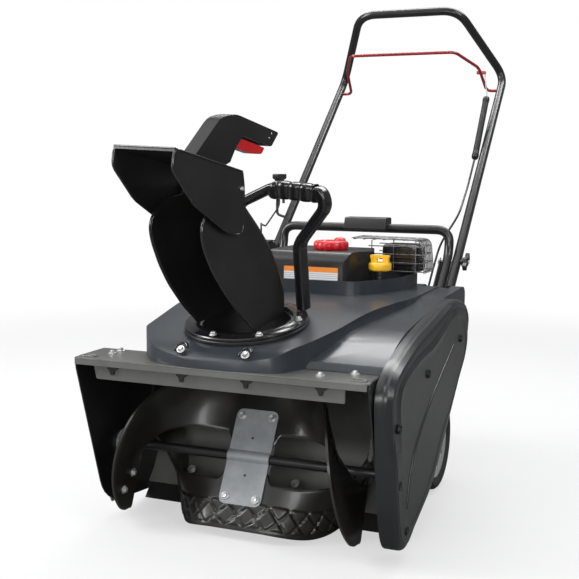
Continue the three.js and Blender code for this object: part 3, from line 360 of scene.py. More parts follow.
BODY_OF_NODE = {node: body for body, nodes in frame["record"]["behaviour"]["bodies"].items()
                for node in nodes}
print("finishes", len(FINISH_OF_SLOT))

# %% [markdown]
# ## Surfaces from arrays
# Every new piece is a grid of points: a function of two parameters, worked out as whole arrays. One helper
# turns a grid into faces, others make the grids that come back again and again: a profile turned about an
# axis, a round section carried along a bent path, and a flat outline given thickness.

# %% Grid helpers
def grid(points, wrap_rows=False, wrap_columns=False, caps=False):
    """Quads between neighbouring rows and columns; caps close the first and last row as one face each."""
    rows, columns = points.shape[:2]
    index = np.arange(rows * columns).reshape(rows, columns)
    if wrap_rows:
        index = np.vstack([index, index[:1]])
    if wrap_columns:
        index = np.hstack([index, index[:, :1]])
    corners = [index[:-1, :-1], index[:-1, 1:], index[1:, 1:], index[1:, :-1]]
    faces = np.stack(corners, -1).reshape(-1, 4).tolist()
    if caps:
        faces += [list(range(columns)), list(range((rows - 1) * columns, rows * columns))]
    return points.reshape(-1, 3), faces


def lathe(profile, axis, centre, turns=56, wave=None):
    """Radius and height pairs turned about an axis: (r cos a, r sin a, h), with the height along the axis."""
    radius, height = np.asarray(profile, float).T
    angle = np.linspace(0, 2 * np.pi, turns, endpoint=False)[:, None]
    radius = np.broadcast_to(radius, (turns, radius.size))
    if wave is not None:
        radius = wave(radius, angle, height)
    first, second = radius * np.cos(angle), radius * np.sin(angle)
    along = np.broadcast_to(height, radius.shape)
    order = {"x": (along, first, second), "y": (second, along, first), "z": (first, second, along)}[axis]
    return grid(np.stack(order, -1) + np.asarray(centre, float), wrap_rows=True)


def rounded(corners, bend, steps=8):
    """A path through corners, each inner corner replaced by a quadratic curve that starts bend away."""
    corners = np.asarray(corners, float)
    share = np.linspace(0, 1, steps)[:, None]
    path = [corners[:1]]
    for before, corner, after in zip(corners[:-2], corners[1:-1], corners[2:]):
        reach_in = min(bend, np.linalg.norm(before - corner) * 0.48)
        reach_out = min(bend, np.linalg.norm(after - corner) * 0.48)
        start = corner + (before - corner) / np.linalg.norm(before - corner) * reach_in
        end = corner + (after - corner) / np.linalg.norm(after - corner) * reach_out
        path.append((1 - share) ** 2 * start + 2 * share * (1 - share) * corner + share ** 2 * end)
    return np.vstack([*path, corners[-1:]])


def resampled(path, count):
    """Points at even steps along a path."""
    length = np.concatenate([[0], np.cumsum(np.linalg.norm(np.diff(path, axis=0), axis=1))])
    even = np.linspace(0, length[-1], count)
    return np.stack([np.interp(even, length, path[:, k]) for k in range(3)], -1)


def tube(path, radius, sides=20, across=None):
    """A round section carried along a path: at each point, radius times (cos a side + sin a up)."""
    path = np.asarray(path, float)
    tangent = np.gradient(path, axis=0)
    tangent /= np.linalg.norm(tangent, axis=1)[:, None]
    if across is None:
        across = np.eye(3)[np.argmin(np.abs(tangent).max(0))]
    side = np.cross(tangent, across)
    side /= np.linalg.norm(side, axis=1)[:, None]
    up = np.cross(side, tangent)
    angle = np.linspace(0, 2 * np.pi, sides, endpoint=False)
    radius = np.broadcast_to(radius, (len(path),))[:, None, None]
    ring = np.cos(angle)[None, :, None] * side[:, None] + np.sin(angle)[None, :, None] * up[:, None]
    return grid(path[:, None] + radius * ring, wrap_columns=True, caps=True)


def slab(outline, axis, low, high, bend=0.0):
    """A flat outline given thickness along an axis, its corners rounded first."""
    outline = np.asarray(outline, float)
    if bend:
        loop = np.vstack([outline[-1:], outline, outline[:1]])
        outline = rounded(loop, bend, 6)[1:-1]
    levels = np.array([low, high])[:, None]
    first = np.broadcast_to(outline[:, 0], (2, len(outline)))
    second = np.broadcast_to(outline[:, 1], (2, len(outline)))
    along = np.broadcast_to(levels, first.shape)
    order = {"x": (along, first, second), "y": (first, along, second), "z": (first, second, along)}[axis]
    return grid(np.stack(order, -1), wrap_columns=True, caps=True)


def oblong(left, right, bottom, top):
    """The four corners of a rectangle."""
    return [(left, bottom), (right, bottom), (right, top), (left, top)]


def moved(part, matrix=None, shift=(0, 0, 0)):
    """Turns a part's points by a 3 by 3 matrix, then shifts them."""
    points, faces = part
    points = points if matrix is None else points @ np.asarray(matrix).T
    return points + np.asarray(shift, float), faces


def turn(axis, degrees):
    return np.array(Matrix.Rotation(math.radians(degrees), 3, axis))


print("a square of four points has", len(grid(np.zeros((2, 2, 3)))[1]), "face")

# %% [markdown]
# ## From arrays to a finished piece
# A piece is often several closed parts joined into one mesh. Its doubles are merged first, which closes
# seams and poles, and then its faces are turned outwards. Real edges are never sharp, so many pieces get a
# small bevel. A CAD node that already has the right shape is copied, merged and bevelled in the same way.

# %% Finishing a piece
BEVEL_STEPS, BEVEL_ANGLE = 2, 28


def shade(mesh, angle):
    mesh.shade_smooth()
    mesh.set_sharp_from_angle(angle=math.radians(angle))


def piece(name, parts, body, slot, finish=None, stands_for=(), angle=38, edge=0.0):
    """Joins closed parts into one mesh, welds seams and poles, turns every face outwards and lets it ride."""
    offsets = np.cumsum([0] + [len(points) for points, _ in parts])
    points = np.vstack([points for points, _ in parts])
    faces = [[int(corner + start) for corner in face]
             for (_, part), start in zip(parts, offsets) for face in part]
    mesh = bpy.data.meshes.new(name)
    mesh.from_pydata(place(points).tolist(), [], faces)
    shell = bmesh.new()
    shell.from_mesh(mesh)
    bmesh.ops.remove_doubles(shell, verts=shell.verts, dist=1e-6)
    bmesh.ops.dissolve_degenerate(shell, edges=shell.edges, dist=1e-7)
    bmesh.ops.recalc_face_normals(shell, faces=shell.faces)
    shell.to_mesh(mesh)
    shell.free()
    return ready(name, mesh, body, slot, finish, stands_for, angle, edge)


def ready(name, mesh, body, slot, finish, stands_for, angle, edge):
    """Gives a mesh its shading, a finish (the slot's, if none is given), a bevel, its body and the nodes it
    stands for.
    """
    shade(mesh, angle)
    mesh.materials.append(finish or FINISH_OF_SLOT[slot])
    item = bpy.data.objects.new(name, mesh)
    bpy.context.scene.collection.objects.link(item)
    if edge:
        bevel = item.modifiers.new("edge", "BEVEL")
        bevel.width, bevel.segments = edge / 1000, BEVEL_STEPS
        bevel.limit_method, bevel.angle_limit = "ANGLE", math.radians(BEVEL_ANGLE)
        bevel.harden_normals = True
        bevel.use_clamp_overlap = True
    if body:
        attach(item, body)
    if stands_for:
        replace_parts(item, *stands_for)
    return item


def softened(node, edge, finish=None, angle=32):
    """A copy of a CAD node with its triangles merged into faces and its edges rounded by a bevel."""
    mesh = frame["nodes"][node].data.copy()
    mesh.materials.clear()
    shell = bmesh.new()
    shell.from_mesh(mesh)
    bmesh.ops.remove_doubles(shell, verts=shell.verts, dist=2e-6)
    bmesh.ops.dissolve_limit(shell, angle_limit=math.radians(0.6), verts=shell.verts, edges=shell.edges)
    shell.to_mesh(mesh)
    shell.free()
    body, slot = BODY_OF_NODE[node], SLOT_OF_NODE[node]
    return ready(node + "_skin", mesh, body, slot, finish, (node,), angle, edge)


print("bevel steps", BEVEL_STEPS)

# %% [markdown]
# ## Fasteners
# The machine is held together by hex screws with washers. One screw is a few closed rings: a thin washer, a
# six-sided head whose top corners are chamfered, and a shank end. It is made once along +Z and turned to
# face along the surface's normal wherever one is needed.

# %% A hex screw
def facing(normal):
    """A 3 by 3 turn that carries +Z to the normal."""
    return np.array(Vector((0, 0, 1)).rotation_difference(Vector(normal)).to_matrix())


def screw(centre, normal, across=10.0, head=5.0, washer=8.5):
    """A washer turned from a small profile, and a six-sided head with a chamfer and a dished top."""
    radius = across / math.sqrt(3)
    disc = lathe([(0, 0), (washer, 0), (washer, 1.2), (washer - 0.6, 1.7), (0, 1.7)], "z", (0, 0, 0), 28)
    cap = lathe([(0, 1.5), (radius, 1.5), (radius, head), (radius * 0.84, head + 1.3),
                 (radius * 0.6, head + 0.9), (0, head + 0.9)], "z", (0, 0, 0), 6)
    matrix = facing(normal)
    return [moved(part, matrix, centre) for part in (disc, cap)]


def stud_end(centre, normal, radius=3.0, length=7.0):
    """A shank's end with a small chamfer."""
    shank = lathe([(0, 0), (radius, 0), (radius, length - 0.8), (radius - 0.8, length), (0, length)], "z",
                  (0, 0, 0), 18)
    return [moved(shank, facing(normal), centre)]


print("a screw has", sum(len(faces) for _, faces in screw((0, 0, 0), (0, 0, 1))), "faces")

# %% [markdown]
# ## Rubber flights
# Each flight is a reinforced rubber sheet that lies flat between the two clamp plates, then winds round the
# shaft to its tip. With a share t from end to end, the place across the machine grows with the sine of an
# angle and the turn round the shaft with one minus its cosine, so the sheet leaves the clamp smoothly. The
# rubber's wearing face has raised pads between crossing grooves near its outer edge, and the other is
# smooth.

# %% Auger numbers
AXIS_Y, AXIS_Z = -58.0, 139.0
FLIGHT_RADIUS, FLIGHT_INNER, FLAT_HALF, SWEEP, LAST = 137.0, 46.0, 45.0, 236.0, math.radians(78)
SPAN = (234.0 - FLAT_HALF) / math.sin(LAST)
TREAD_PITCH, TREAD_GROOVE, TREAD_HEIGHT, RUBBER_HALF = 40.0, 2.8, 2.6, 3.6


def smooth(value, low, high):
    share = np.clip((value - low) / (high - low), 0, 1)
    return share * share * (3 - 2 * share)


def flight_surface(turn_by, rows=300, columns=44):
    """Points (x(t), y + r cos a(t), z + r sin a(t)), thickened along the sheet's own normal."""
    plateau = 0.12
    t = np.linspace(-1 - plateau, 1 + plateau, rows)[:, None]
    a = np.clip(np.abs(t) - plateau, 0, 1) * LAST
    x = np.sign(t) * (FLAT_HALF * np.clip(np.abs(t) / plateau, 0, 1) + SPAN * np.sin(a))
    angle = np.radians(turn_by + 60.0) + math.radians(SWEEP) * (1 - np.cos(a))
    share = a / LAST
    inner = FLIGHT_INNER - 26 * share ** 3 - 20 * (1 - smooth(np.abs(t), plateau * 0.9, plateau * 1.3))
    outer = FLIGHT_RADIUS - 12 * smooth(share, 0.93, 1.0) ** 2
    v = np.linspace(0, 1, columns)[None, :]
    radius = inner + (outer - inner) * v
    y, z = AXIS_Y + radius * np.cos(angle), AXIS_Z + radius * np.sin(angle)
    sheet = np.stack(np.broadcast_arrays(x, y, z), -1)
    along, out = np.gradient(sheet, axis=0), np.gradient(sheet, axis=1)
    normal = np.cross(along, out)
    normal /= np.linalg.norm(normal, axis=2)[..., None]
    length = np.concatenate([[0], np.cumsum(np.linalg.norm(np.diff(sheet[:, -1], axis=0), axis=1))])[:, None]
    length = length - length[-1] / 2
    first = np.abs((length + radius * 0.9) % TREAD_PITCH - TREAD_PITCH / 2)
    second = np.abs((length - radius * 0.9) % TREAD_PITCH - TREAD_PITCH / 2)
    low, high = TREAD_GROOVE - 0.8, TREAD_GROOVE + 1.0
    pads = smooth(first, low, high) * smooth(second, low, high)
    band = smooth(radius, 84, 87) * smooth(FLIGHT_RADIUS - radius, 9, 11) * (1 - smooth(share, 0.66, 0.72))
    tread = TREAD_HEIGHT * pads * band
    rounding = 1.4 * (smooth(v, 0.95, 1.0) + smooth(1 - v, 0.95, 1.0))
    front = sheet + normal * (RUBBER_HALF - rounding)[..., None]
    back = sheet - normal * (RUBBER_HALF - rounding + tread)[..., None]
    return grid(np.concatenate([front, back[:, ::-1]], 1), wrap_columns=True, caps=True), sheet, normal


flights = {}
for name, turn_by in (("auger_flight_a", 0), ("auger_flight_b", 180)):
    part, sheet, normal = flight_surface(turn_by)
    flights[name] = (sheet, normal)
    piece(name + "_rubber", [part], "auger", "auger_rubber", stands_for=(name,), angle=50)
print("flight reach", FLIGHT_RADIUS, "mm")

# %% [markdown]
# ## Clamp plates and shaft
# Two pressed plates grip the rubber and wrap the shaft between them. A plate's height over its mid-plane is
# flat but for a half-round hump over the shaft, and its width shrinks along a quarter circle near each end,
# which rounds the corners. The shaft is turned from a profile. Screws hold the front plate and the rubber,
# and their shanks end behind the rear plate.

# %% Clamp plates
CLAMP_HALF, CLAMP_REACH, CLAMP_CORNER, CLAMP_STEEL = 43.0, 92.0, 13.0, 2.6
CLAMP_OFF = RUBBER_HALF + 1.6


def clamp_surface(side):
    """Height over the rubber: the larger of the flat part and a half circle round the shaft."""
    s = np.concatenate([-CLAMP_REACH + CLAMP_CORNER * (1 - np.cos(np.linspace(0, np.pi / 2, 9))),
                        np.linspace(-CLAMP_REACH + CLAMP_CORNER, CLAMP_REACH - CLAMP_CORNER, 71)[1:-1],
                        CLAMP_REACH - CLAMP_CORNER * (1 - np.sin(np.linspace(0, np.pi / 2, 9)))])[:, None]
    over = np.clip(np.abs(s) - (CLAMP_REACH - CLAMP_CORNER), 0, CLAMP_CORNER)
    half = CLAMP_HALF - CLAMP_CORNER + np.sqrt(CLAMP_CORNER ** 2 - over ** 2)
    x = half * np.linspace(-1, 1, 15)[None, :]
    hump = np.sqrt(np.clip(11.6 ** 2 - s ** 2, 0, None))
    height = np.maximum(CLAMP_OFF, hump) + 0 * x
    s = s + 0 * x
    low = np.stack([x, s, height - CLAMP_STEEL / 2], -1)
    high = np.stack([x, s, height + CLAMP_STEEL / 2], -1)
    part = grid(np.concatenate([high, low[:, ::-1]], 1), wrap_columns=True, caps=True)
    return moved(part, clamp_turn(side), (0, AXIS_Y, AXIS_Z))


def clamp_turn(side):
    return turn("X", 60) if side > 0 else turn("X", 240)


auger_screws, auger_studs = [], []
for name, side in (("clamp_front", 1), ("clamp_rear", -1)):
    piece(name + "_plate", [clamp_surface(side)], "auger", "plate_steel", stands_for=(name,), edge=0.5)
    matrix = clamp_turn(side)
    face = CLAMP_OFF + CLAMP_STEEL / 2
    for x, s in ((-31, -78), (31, -78), (-31, 78), (31, 78)):
        centre = matrix @ np.array([x, s, face]) + (0, AXIS_Y, AXIS_Z)
        if side > 0:
            auger_screws.extend(screw(centre, matrix[:, 2], 10, 4.5, 8))
        else:
            auger_studs.extend(stud_end(centre, matrix[:, 2], 3, 8))
    for s in (-36, 36):
        centre = matrix @ np.array([0, s, face - 0.2]) + (0, AXIS_Y, AXIS_Z)
        auger_studs.extend(stud_end(centre, matrix[:, 2], 3.2, 0.4))
for name, (sheet, normal) in flights.items():
    rows = len(sheet)
    for row in (int(rows * 0.045), int(rows * 0.955)):
        for column in (16, 32):
            sign = 1 if name == "auger_flight_a" else -1
            base = sheet[row, column] + sign * normal[row, column] * RUBBER_HALF
            auger_screws.extend(screw(base, sign * normal[row, column], 10, 4.5, 8.5))
piece("auger_screws", auger_screws, "auger", "zinc_steel", angle=30)
piece("auger_stud_ends", auger_studs, "auger", "black_paint", angle=30)
bar_profile = [(0, -294), (8, -294), (9, -293), (9, 308), (8, 309), (0, 309)]
shaft_bar = lathe(bar_profile, "x", (0, AXIS_Y, AXIS_Z), 40)
piece("auger_shaft_bar", [shaft_bar], "auger", "black_paint", stands_for=("auger_shaft",))
print("auger screws", len(auger_screws) // 2)

# %% [markdown]
# ## Handle tubes, bail and cables
# The handle is one 22 mm tube bent into a hoop with a narrower bar at the top, folded on two wing knobs
# over the lower hoop. Tubes, wires and cables are all the same thing: a round section carried along a path
# whose corners are rounded. A cable's boot is a thicker sleeve with a small collar at each end. The cable's
# jacket and the starter's rope run from the frame to the folding handle, and a short strand runs to the
# starter's grip. No single body carries them, so they are left on no body, fixed where they are drawn.

# %% Tubes
LEG_X, TUBE_RADIUS, LEG_Y, LEG_Z, SLOPE = 237.6, 11.0, 539.0, 408.0, 0.888


def leg_z(y):
    return LEG_Z + SLOPE * (y - LEG_Y)


def mirrored(half):
    """A left half made from a right half, in reverse order, so that the two join into one path."""
    return [*half, *[(-x, y, z) for x, y, z in reversed(half)]]


upper = mirrored([(LEG_X, LEG_Y, LEG_Z), (LEG_X, 1148, leg_z(1148)), (139, 980, 1112)])
piece("upper_handle_tube", [tube(rounded(upper, 46, 14), TUBE_RADIUS, 32)], "handle", "black_paint",
      stands_for=("upper_handle",))
LOWER_X = LEG_X - 2 * TUBE_RADIUS - 1
lower = mirrored([(LOWER_X, 440, leg_z(440)), (LOWER_X, 618, leg_z(618)), (LOWER_X, 622, 540)])
piece("lower_handle_tube", [tube(rounded(lower, 34, 14), TUBE_RADIUS, 32)], "frame", "black_paint",
      stands_for=("lower_handle",))

bail_half = [(LEG_X + 10, 1100, leg_z(1100)), (200, 1100, leg_z(1100)), (190, 1028, 963), (146, 925, 995)]
tab = slab(oblong(-13, 13, -5, 5), "y", -1.6, 1.6, 4)
tab = moved(tab, turn("Z", 20) @ turn("X", -38), (193, 1050, 952))
piece("bail_wire", [tube(rounded(mirrored(bail_half), 16, 10), 4.0, 18), tab], "bail", "red_paint",
      stands_for=("bail",))

boot_top, boot_end = np.array([217, 1010, 880.0]), np.array([217, 880, 716.0])
boot_path = boot_top + (boot_end - boot_top) * np.linspace(0, 1, 60)[:, None]
boot_share = np.linspace(0, 1, 60)
boot_radius = 8.2 + 1.0 * (smooth(boot_share, 0, 0.02) - smooth(boot_share, 0.06, 0.08)) \
    + 1.0 * (smooth(boot_share, 0.92, 0.94) - smooth(boot_share, 0.98, 1.0)) \
    + 0.35 * np.cos(boot_share * 60 * np.pi) * (boot_share > 0.1) * (boot_share < 0.9)
piece("cable_boot_sleeve", [tube(boot_path, boot_radius, 28)], "handle", "black_plastic",
      stands_for=("cable_boot",))
wire_path = rounded([(205, 1040, 947), (217, 1016, 888), (217, 1010, 880), (217, 990, 854.8)], 8, 8)
piece("cable_wire_strand", [tube(wire_path, 1.5, 12)], "cable_wire", "zinc_steel", stands_for=("cable_wire",))
jacket_path = rounded([(217, 879.8, 715.7), (217, 800, 640), (219, 700, 575), (188, 640, 505),
                       (180, 600, 440), (180, 560, 400), (180, 520, 372)], 30, 12)
jacket = piece("cable_jacket_tube", [tube(resampled(jacket_path, 110), 2.6, 16)], None, "black_plastic",
               stands_for=("cable_jacket",))
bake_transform(jacket)
rope_path = rounded([(-262, 700, 613.7), (-262, 700, 586), (-240, 560, 540), (-190, 420, 552),
                     (-150, 328, 560), (-150, 328, 525)], 18, 12)
rope = piece("starter_rope_braid", [tube(resampled(rope_path, 130), 2.1, 14)], None, "black_plastic",
             stands_for=("starter_rope",))
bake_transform(rope)
strand_path = np.array([-262, 700, 603.0]) + np.array([0, 0.5, 0.866]) * np.linspace(0, 24, 14)[:, None]
strand = piece("starter_rope_strand", [tube(strand_path, 2.0, 14)], None, "black_plastic")
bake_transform(strand)
hook_y = 707.0
hook_path = rounded([(x, hook_y, z) for x, z in (
    (-LEG_X - 12.5, leg_z(hook_y)), (-271, leg_z(hook_y) + 6), (-271, 608), (-253, 608), (-253, 593))], 9, 10)
piece("rope_guide_hook", [tube(hook_path, 3.5, 18)], "handle", "black_paint", stands_for=("rope_guide",))
print("tubes and cables made")

# %% [markdown]
# ## Wing knobs
# Each side of the handle folds about a bolt that a wing knob clamps. The knob is a turned hub with a
# bow-tie wing across it. Both sides come from one function, because the left knob is the right one turned
# round.

# %% Wing knobs and bolt ends
FOLD_Y = 605


def knob(sign):
    """A hub of revolution, drilled over the bolt, and a bow-tie wing with rounded corners."""
    hub = lathe([(4.4, 0), (10, 0), (11.5, 6), (11.5, 12), (9, 15), (4.4, 15), (4.4, 0)], "x", (0, 0, 0), 36)
    wing = slab([(-26, 9), (-23, -9), (-9, -5), (9, -8), (22, -9), (26, 9), (11, 7), (-11, 7)], "x", 6, 15, 4)
    flip = turn("Z", 0 if sign > 0 else 180)
    shift = (sign * (LEG_X + TUBE_RADIUS + 1), FOLD_Y, leg_z(FOLD_Y))
    return [moved(part, turn("X", 35) @ flip, shift) for part in (hub, wing)]


for name, sign in (("left", -1), ("right", 1)):
    piece(f"wing_knob_{name}_grip", knob(sign), f"wing_knob_{name}", "black_plastic",
          stands_for=(f"wing_knob_{name}",), edge=0.8)
    end = sign * (LEG_X + TUBE_RADIUS + 17)
    bolt_end = stud_end((end, FOLD_Y, leg_z(FOLD_Y)), (sign, 0, 0), 4, 2.0)
    piece(f"handle_bolt_{name}_end", bolt_end, "frame", "zinc_steel")
print("knobs made")

# %% [markdown]
# ## Chute, deflector and their handles
# The chute stands on a ring that is tilted forwards and turned a little to one side, so its pieces are
# drawn in the ring's own upright frame, and one turn carries them to the machine. The ring and the collar
# under it are round, so each is a profile turned about the chute's own axis.

# %% The chute's own frame
RING_CENTRE, RING_TILT, RING_TURN = np.array([0, -76, 405.0]), 10.8, -13.0
CHUTE_TURN = turn("X", RING_TILT) @ turn("Z", RING_TURN)


def on_chute(part):
    return moved(part, CHUTE_TURN, RING_CENTRE)


ring = lathe([(86, -2.7), (112, -2.7), (113.5, -1.6), (113.5, 1.4), (112, 3.0), (99, 3.6), (97, 5.4),
              (94, 6), (87, 5.6), (86, 4.4), (86, -2.7)], "z", (0, 0, 0), 120)
piece("chute_ring_turned", [on_chute(ring)], "chute", "black_plastic", gloss_black,
      stands_for=("chute_ring",), angle=40)
collar = lathe([(82, -58), (89, -58), (89, -9), (113, -9), (115, -8), (115, -4), (114, -3), (82, -3),
                (82, -58)], "z", (0, 0, 0), 120)
piece("chute_collar_turned", [moved(collar, turn("X", RING_TILT), RING_CENTRE)], "frame", "black_plastic",
      stands_for=("chute_collar",), angle=40)
print("ring tilt", RING_TILT, "degrees")

# %% [markdown]
# ## The trough
# The trough is a channel that leans forwards as it rises. Its section is given at a few heights, as half
# widths and as front and back places, and is blended between them and smoothed. The wall is thick, because
# its rounded open edge is what shows that the trough is moulded plastic and not sheet steel.

# %% The trough
STATIONS = np.array([[5.5, 66, 52, -60, 60], [50, 64, 53, -98, 61], [99, 62, 53, -131, 46],
                     [140, 59, 53, -152, 27], [184, 57, 53, -167, -3], [211, 57, 53, -169, -24],
                     [234, 56, 53, -156, -42], [250, 55, 53, -120, -55]], float)
TROUGH_WALL = 4.2


def trough_grid(rows=90):
    """Section corners blended along the height, then offset inwards by the wall to give the inner face."""
    height = np.linspace(STATIONS[0, 0], STATIONS[-1, 0], rows)
    front_half, back_half, front, back = [np.interp(height, STATIONS[:, 0], STATIONS[:, k])
                                          for k in (1, 2, 3, 4)]
    kernel = np.hanning(15) / np.hanning(15).sum()
    front, back = [np.convolve(np.pad(v, 7, mode="reflect", reflect_type="odd"), kernel, "valid")
                   for v in (front, back)]
    arc = np.linspace(0, np.pi / 2, 9)
    radius = 16.0

    def section(d):
        side = np.linspace(0, 1, 14)[:, None]
        left_x = -(front_half - d) * (1 - side) - (back_half - d) * side
        left_y = front * (1 - side) + (back - radius) * side
        corner_x = -(back_half - radius) - (radius - d) * np.cos(arc)[:, None]
        corner_y = (back - radius) + (radius - d) * np.sin(arc)[:, None]
        half = np.stack([np.vstack([left_x, corner_x]), np.vstack([left_y, corner_y])], -1)
        other = half[::-1] * np.array([-1, 1])
        ring_points = np.vstack([half, other])
        level = np.broadcast_to(height, ring_points.shape[:2])[..., None]
        return np.concatenate([ring_points, level], -1).transpose(1, 0, 2)

    walls = np.concatenate([section(0.0), section(TROUGH_WALL)[:, ::-1]], 1)
    return grid(walls, wrap_columns=True, caps=True)


hinge_y, hinge_z = -66.0, 262.0
EAR = [(-96, 214), (-52, 214), (-54, 262), (-62, 272), (-72, 272), (-84, 250)]
ears = [slab(EAR, "x", low, low + 5, 6) for low in (-56, 51)]
piece("chute_trough_moulded", [on_chute(part) for part in (trough_grid(), *ears)], "chute", "black_plastic",
      stands_for=("chute_trough",), edge=1.0, angle=45)
pin = lathe([(0, -69), (3.2, -69), (3.5, -68.6), (3.5, 68.6), (3.2, 69), (0, 69)], "x",
            (0, hinge_y, hinge_z), 20)
piece("hinge_pin_bar", [on_chute(pin)], "chute", "zinc_steel", stands_for=("hinge_pin",))
chute_screws = []
for spot_xyz in ((6, -104, 5.6), (96, 30, 4.0), (-92, 40, 4.0), (80, -68, 4.0)):
    chute_screws += [on_chute(part) for part in screw(spot_xyz, (0, 0, 1), 9, 4.5, 7)]
piece("chute_screws", chute_screws, "chute", "zinc_steel", angle=30)
print("trough wall", TROUGH_WALL, "mm")

# %% [markdown]
# ## The turning handle
# A long flat bar rises from the ring and loops behind the chute, with finger hollows in its top.
# It is a rounded rectangle carried along a bent path, and its width and depth swell and shrink along the
# top, so the fingers' hollows are part of the section. A thin seam runs up its front.

# %% The turning handle
def moulded_bar(path, half_wide, half_deep, across, sides=32):
    """A rounded rectangular section carried along a path: a superellipse with exponent one half."""
    path = np.asarray(path, float)
    tangent = np.gradient(path, axis=0)
    tangent /= np.linalg.norm(tangent, axis=1)[:, None]
    side = np.broadcast_to(np.asarray(across, float), path.shape)
    side = side - tangent * (side * tangent).sum(1)[:, None]
    side /= np.linalg.norm(side, axis=1)[:, None]
    up = np.cross(side, tangent)
    angle = np.linspace(0, 2 * np.pi, sides, endpoint=False)
    c, s = [np.sign(wave) * np.abs(wave) ** 0.5 for wave in (np.cos(angle), np.sin(angle))]
    wide, deep = [np.broadcast_to(half, (len(path),))[:, None, None] for half in (half_wide, half_deep)]
    points = path[:, None] + wide * c[None, :, None] * side[:, None]
    return grid(points + deep * s[None, :, None] * up[:, None], wrap_columns=True, caps=True)


handle_path = resampled(rounded([(70, 86, 5.5), (70, 86, 132), (132, 86, 204), (124, 86, 232),
                                 (24, 86, 235), (-58, 78, 198), (-46, 52, 176)], 14, 14), 320)
along_x, height = handle_path[:, 0], handle_path[:, 2]
on_top = smooth(height, 224, 231) * smooth(along_x, 12, 24) * (1 - smooth(along_x, 112, 120))
finger = np.abs(np.cos((along_x - 20) / 24 * np.pi)) ** 0.6
handle_path[:, 2] -= 6.0 * on_top
handle_deep = 9.5 + on_top * (5.5 + 1.5 * finger)
handle_wide = 13.0 - 4.0 * on_top * (1 - finger)
handle_bar = moulded_bar(handle_path, handle_wide, handle_deep, (0, 1, 0))
piece("chute_handle_moulded", [on_chute(handle_bar)], "chute", "black_plastic", gloss_black,
      stands_for=("chute_handle",), angle=50)
seam_path = handle_path[6:150:2] - np.array([0, 12.4, 0]) + np.array([-6.5, 0, 0])
piece("handle_seam", [on_chute(tube(seam_path, 1.5, 10))], "chute", "black_plastic", gloss_black, angle=60)
print("handle length", round(float(np.linalg.norm(np.diff(handle_path, axis=0), axis=1).sum())), "mm")

# %% [markdown]
# ## The deflector's grip
# The hood on top of the chute is tipped by a grip with a red trigger. These CAD nodes already have the right
# shape, so they are copied with rounder edges, and a clip and two screw ends are added.

# %% The deflector's grip
softened("deflector", 1.1, black_plastic, angle=30)
softened("deflector_grip", 4.0, black_plastic, angle=50)
softened("deflector_trigger", 1.6, red_plastic, angle=50)
clip = lathe([(0, -1), (5, -1), (5, 3), (4, 4), (0, 4)], "x", (-15, -62, 345), 24)
grip_screws = [on_chute(part) for y, z in ((96, 328), (88, 322))
               for part in stud_end((15.0, y, z), (1, 0, 0), 1.8, 0.9)]
piece("grip_clip", [on_chute(clip)], "deflector", "zinc_steel", angle=30)
piece("grip_screws", grip_screws, "deflector", "zinc_steel", angle=30)
print("deflector dressed")

# %% [markdown]
# ## Engine
# What shows of the engine is a moulded cover with a bevelled roof, a lobed fuel cap, a knob, an oil filler
# with its T-shaped dipstick, and a black muffler inside a cage of bent wires. The cap and the knob are
# turned profiles, with a wave taken from the radius for the finger hollows. Their places are read from the
# frame.

# %% Fuel cap and knob
def node_middle(node):
    """A node's box centre, back in the drawing's millimetres."""
    return (middle(node) - ORIGIN) * 1000


def node_low(node, axis):
    return float((np.array(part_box(node)[0])[axis] - ORIGIN[axis]) * 1000)


def node_high(node, axis):
    return float((np.array(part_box(node)[1])[axis] - ORIGIN[axis]) * 1000)


cap_x, cap_y, _ = node_middle("fuel_cap")
cap_z = node_low("fuel_cap", 2)


def lobes(radius, angle, height):
    """Eleven finger hollows: the radius drops where a raised cosine peaks, only on the outer wall."""
    hollow = np.clip(np.cos(11 * angle), 0, 1) ** 2
    return radius - 3.0 * hollow * (radius > 30)


def flutes(radius, angle, height):
    """Eight hollows round the knob: the upper half of a cosine, only on the outer wall."""
    return radius - 0.8 * np.clip(np.cos(8 * angle), 0, 1) * (radius > 10.5)


CAP_PROFILE = [(0, 0), (35, 0), (37, 2), (38.5, 6), (38.5, 13), (36.5, 17), (33, 19), (24, 19.5),
               (22, 17.5), (0, 17.5)]
KNOB_PROFILE = [(0, 0), (5, 0), (5, 6), (11, 8), (13, 10), (13, 17), (11, 20), (6, 21.5), (0, 22)]
cap = lathe(CAP_PROFILE, "z", (cap_x, cap_y, cap_z), 132, lobes)
piece("fuel_cap_lobed", [cap], "fuel_cap", "red_plastic", stands_for=("fuel_cap",), angle=45)
knob_x, knob_y, _ = node_middle("choke_knob")
knob_z = node_low("choke_knob", 2)
choke = lathe(KNOB_PROFILE, "z", (knob_x, knob_y, knob_z), 48, flutes)
piece("choke_knob_turned", [choke], "choke_knob", "red_plastic", stands_for=("choke_knob",), angle=45)
print("cap and knob at", round(float(cap_z)), "and", round(float(knob_z)), "mm")

# %% [markdown]
# ## Oil filler
# The filler is a short tube, closed by a yellow cap that a T-shaped handle turns. The cap's edge is knurled
# by a square wave taken from its radius, and two posts carry the handle's bar.

# %% Oil filler
def knurl(radius, angle, height):
    """Thirty-six narrow grooves round the cap's edge: a step where a cosine is high."""
    return radius - 0.6 * (np.cos(36 * angle) > 0.3) * (radius > 23.5)


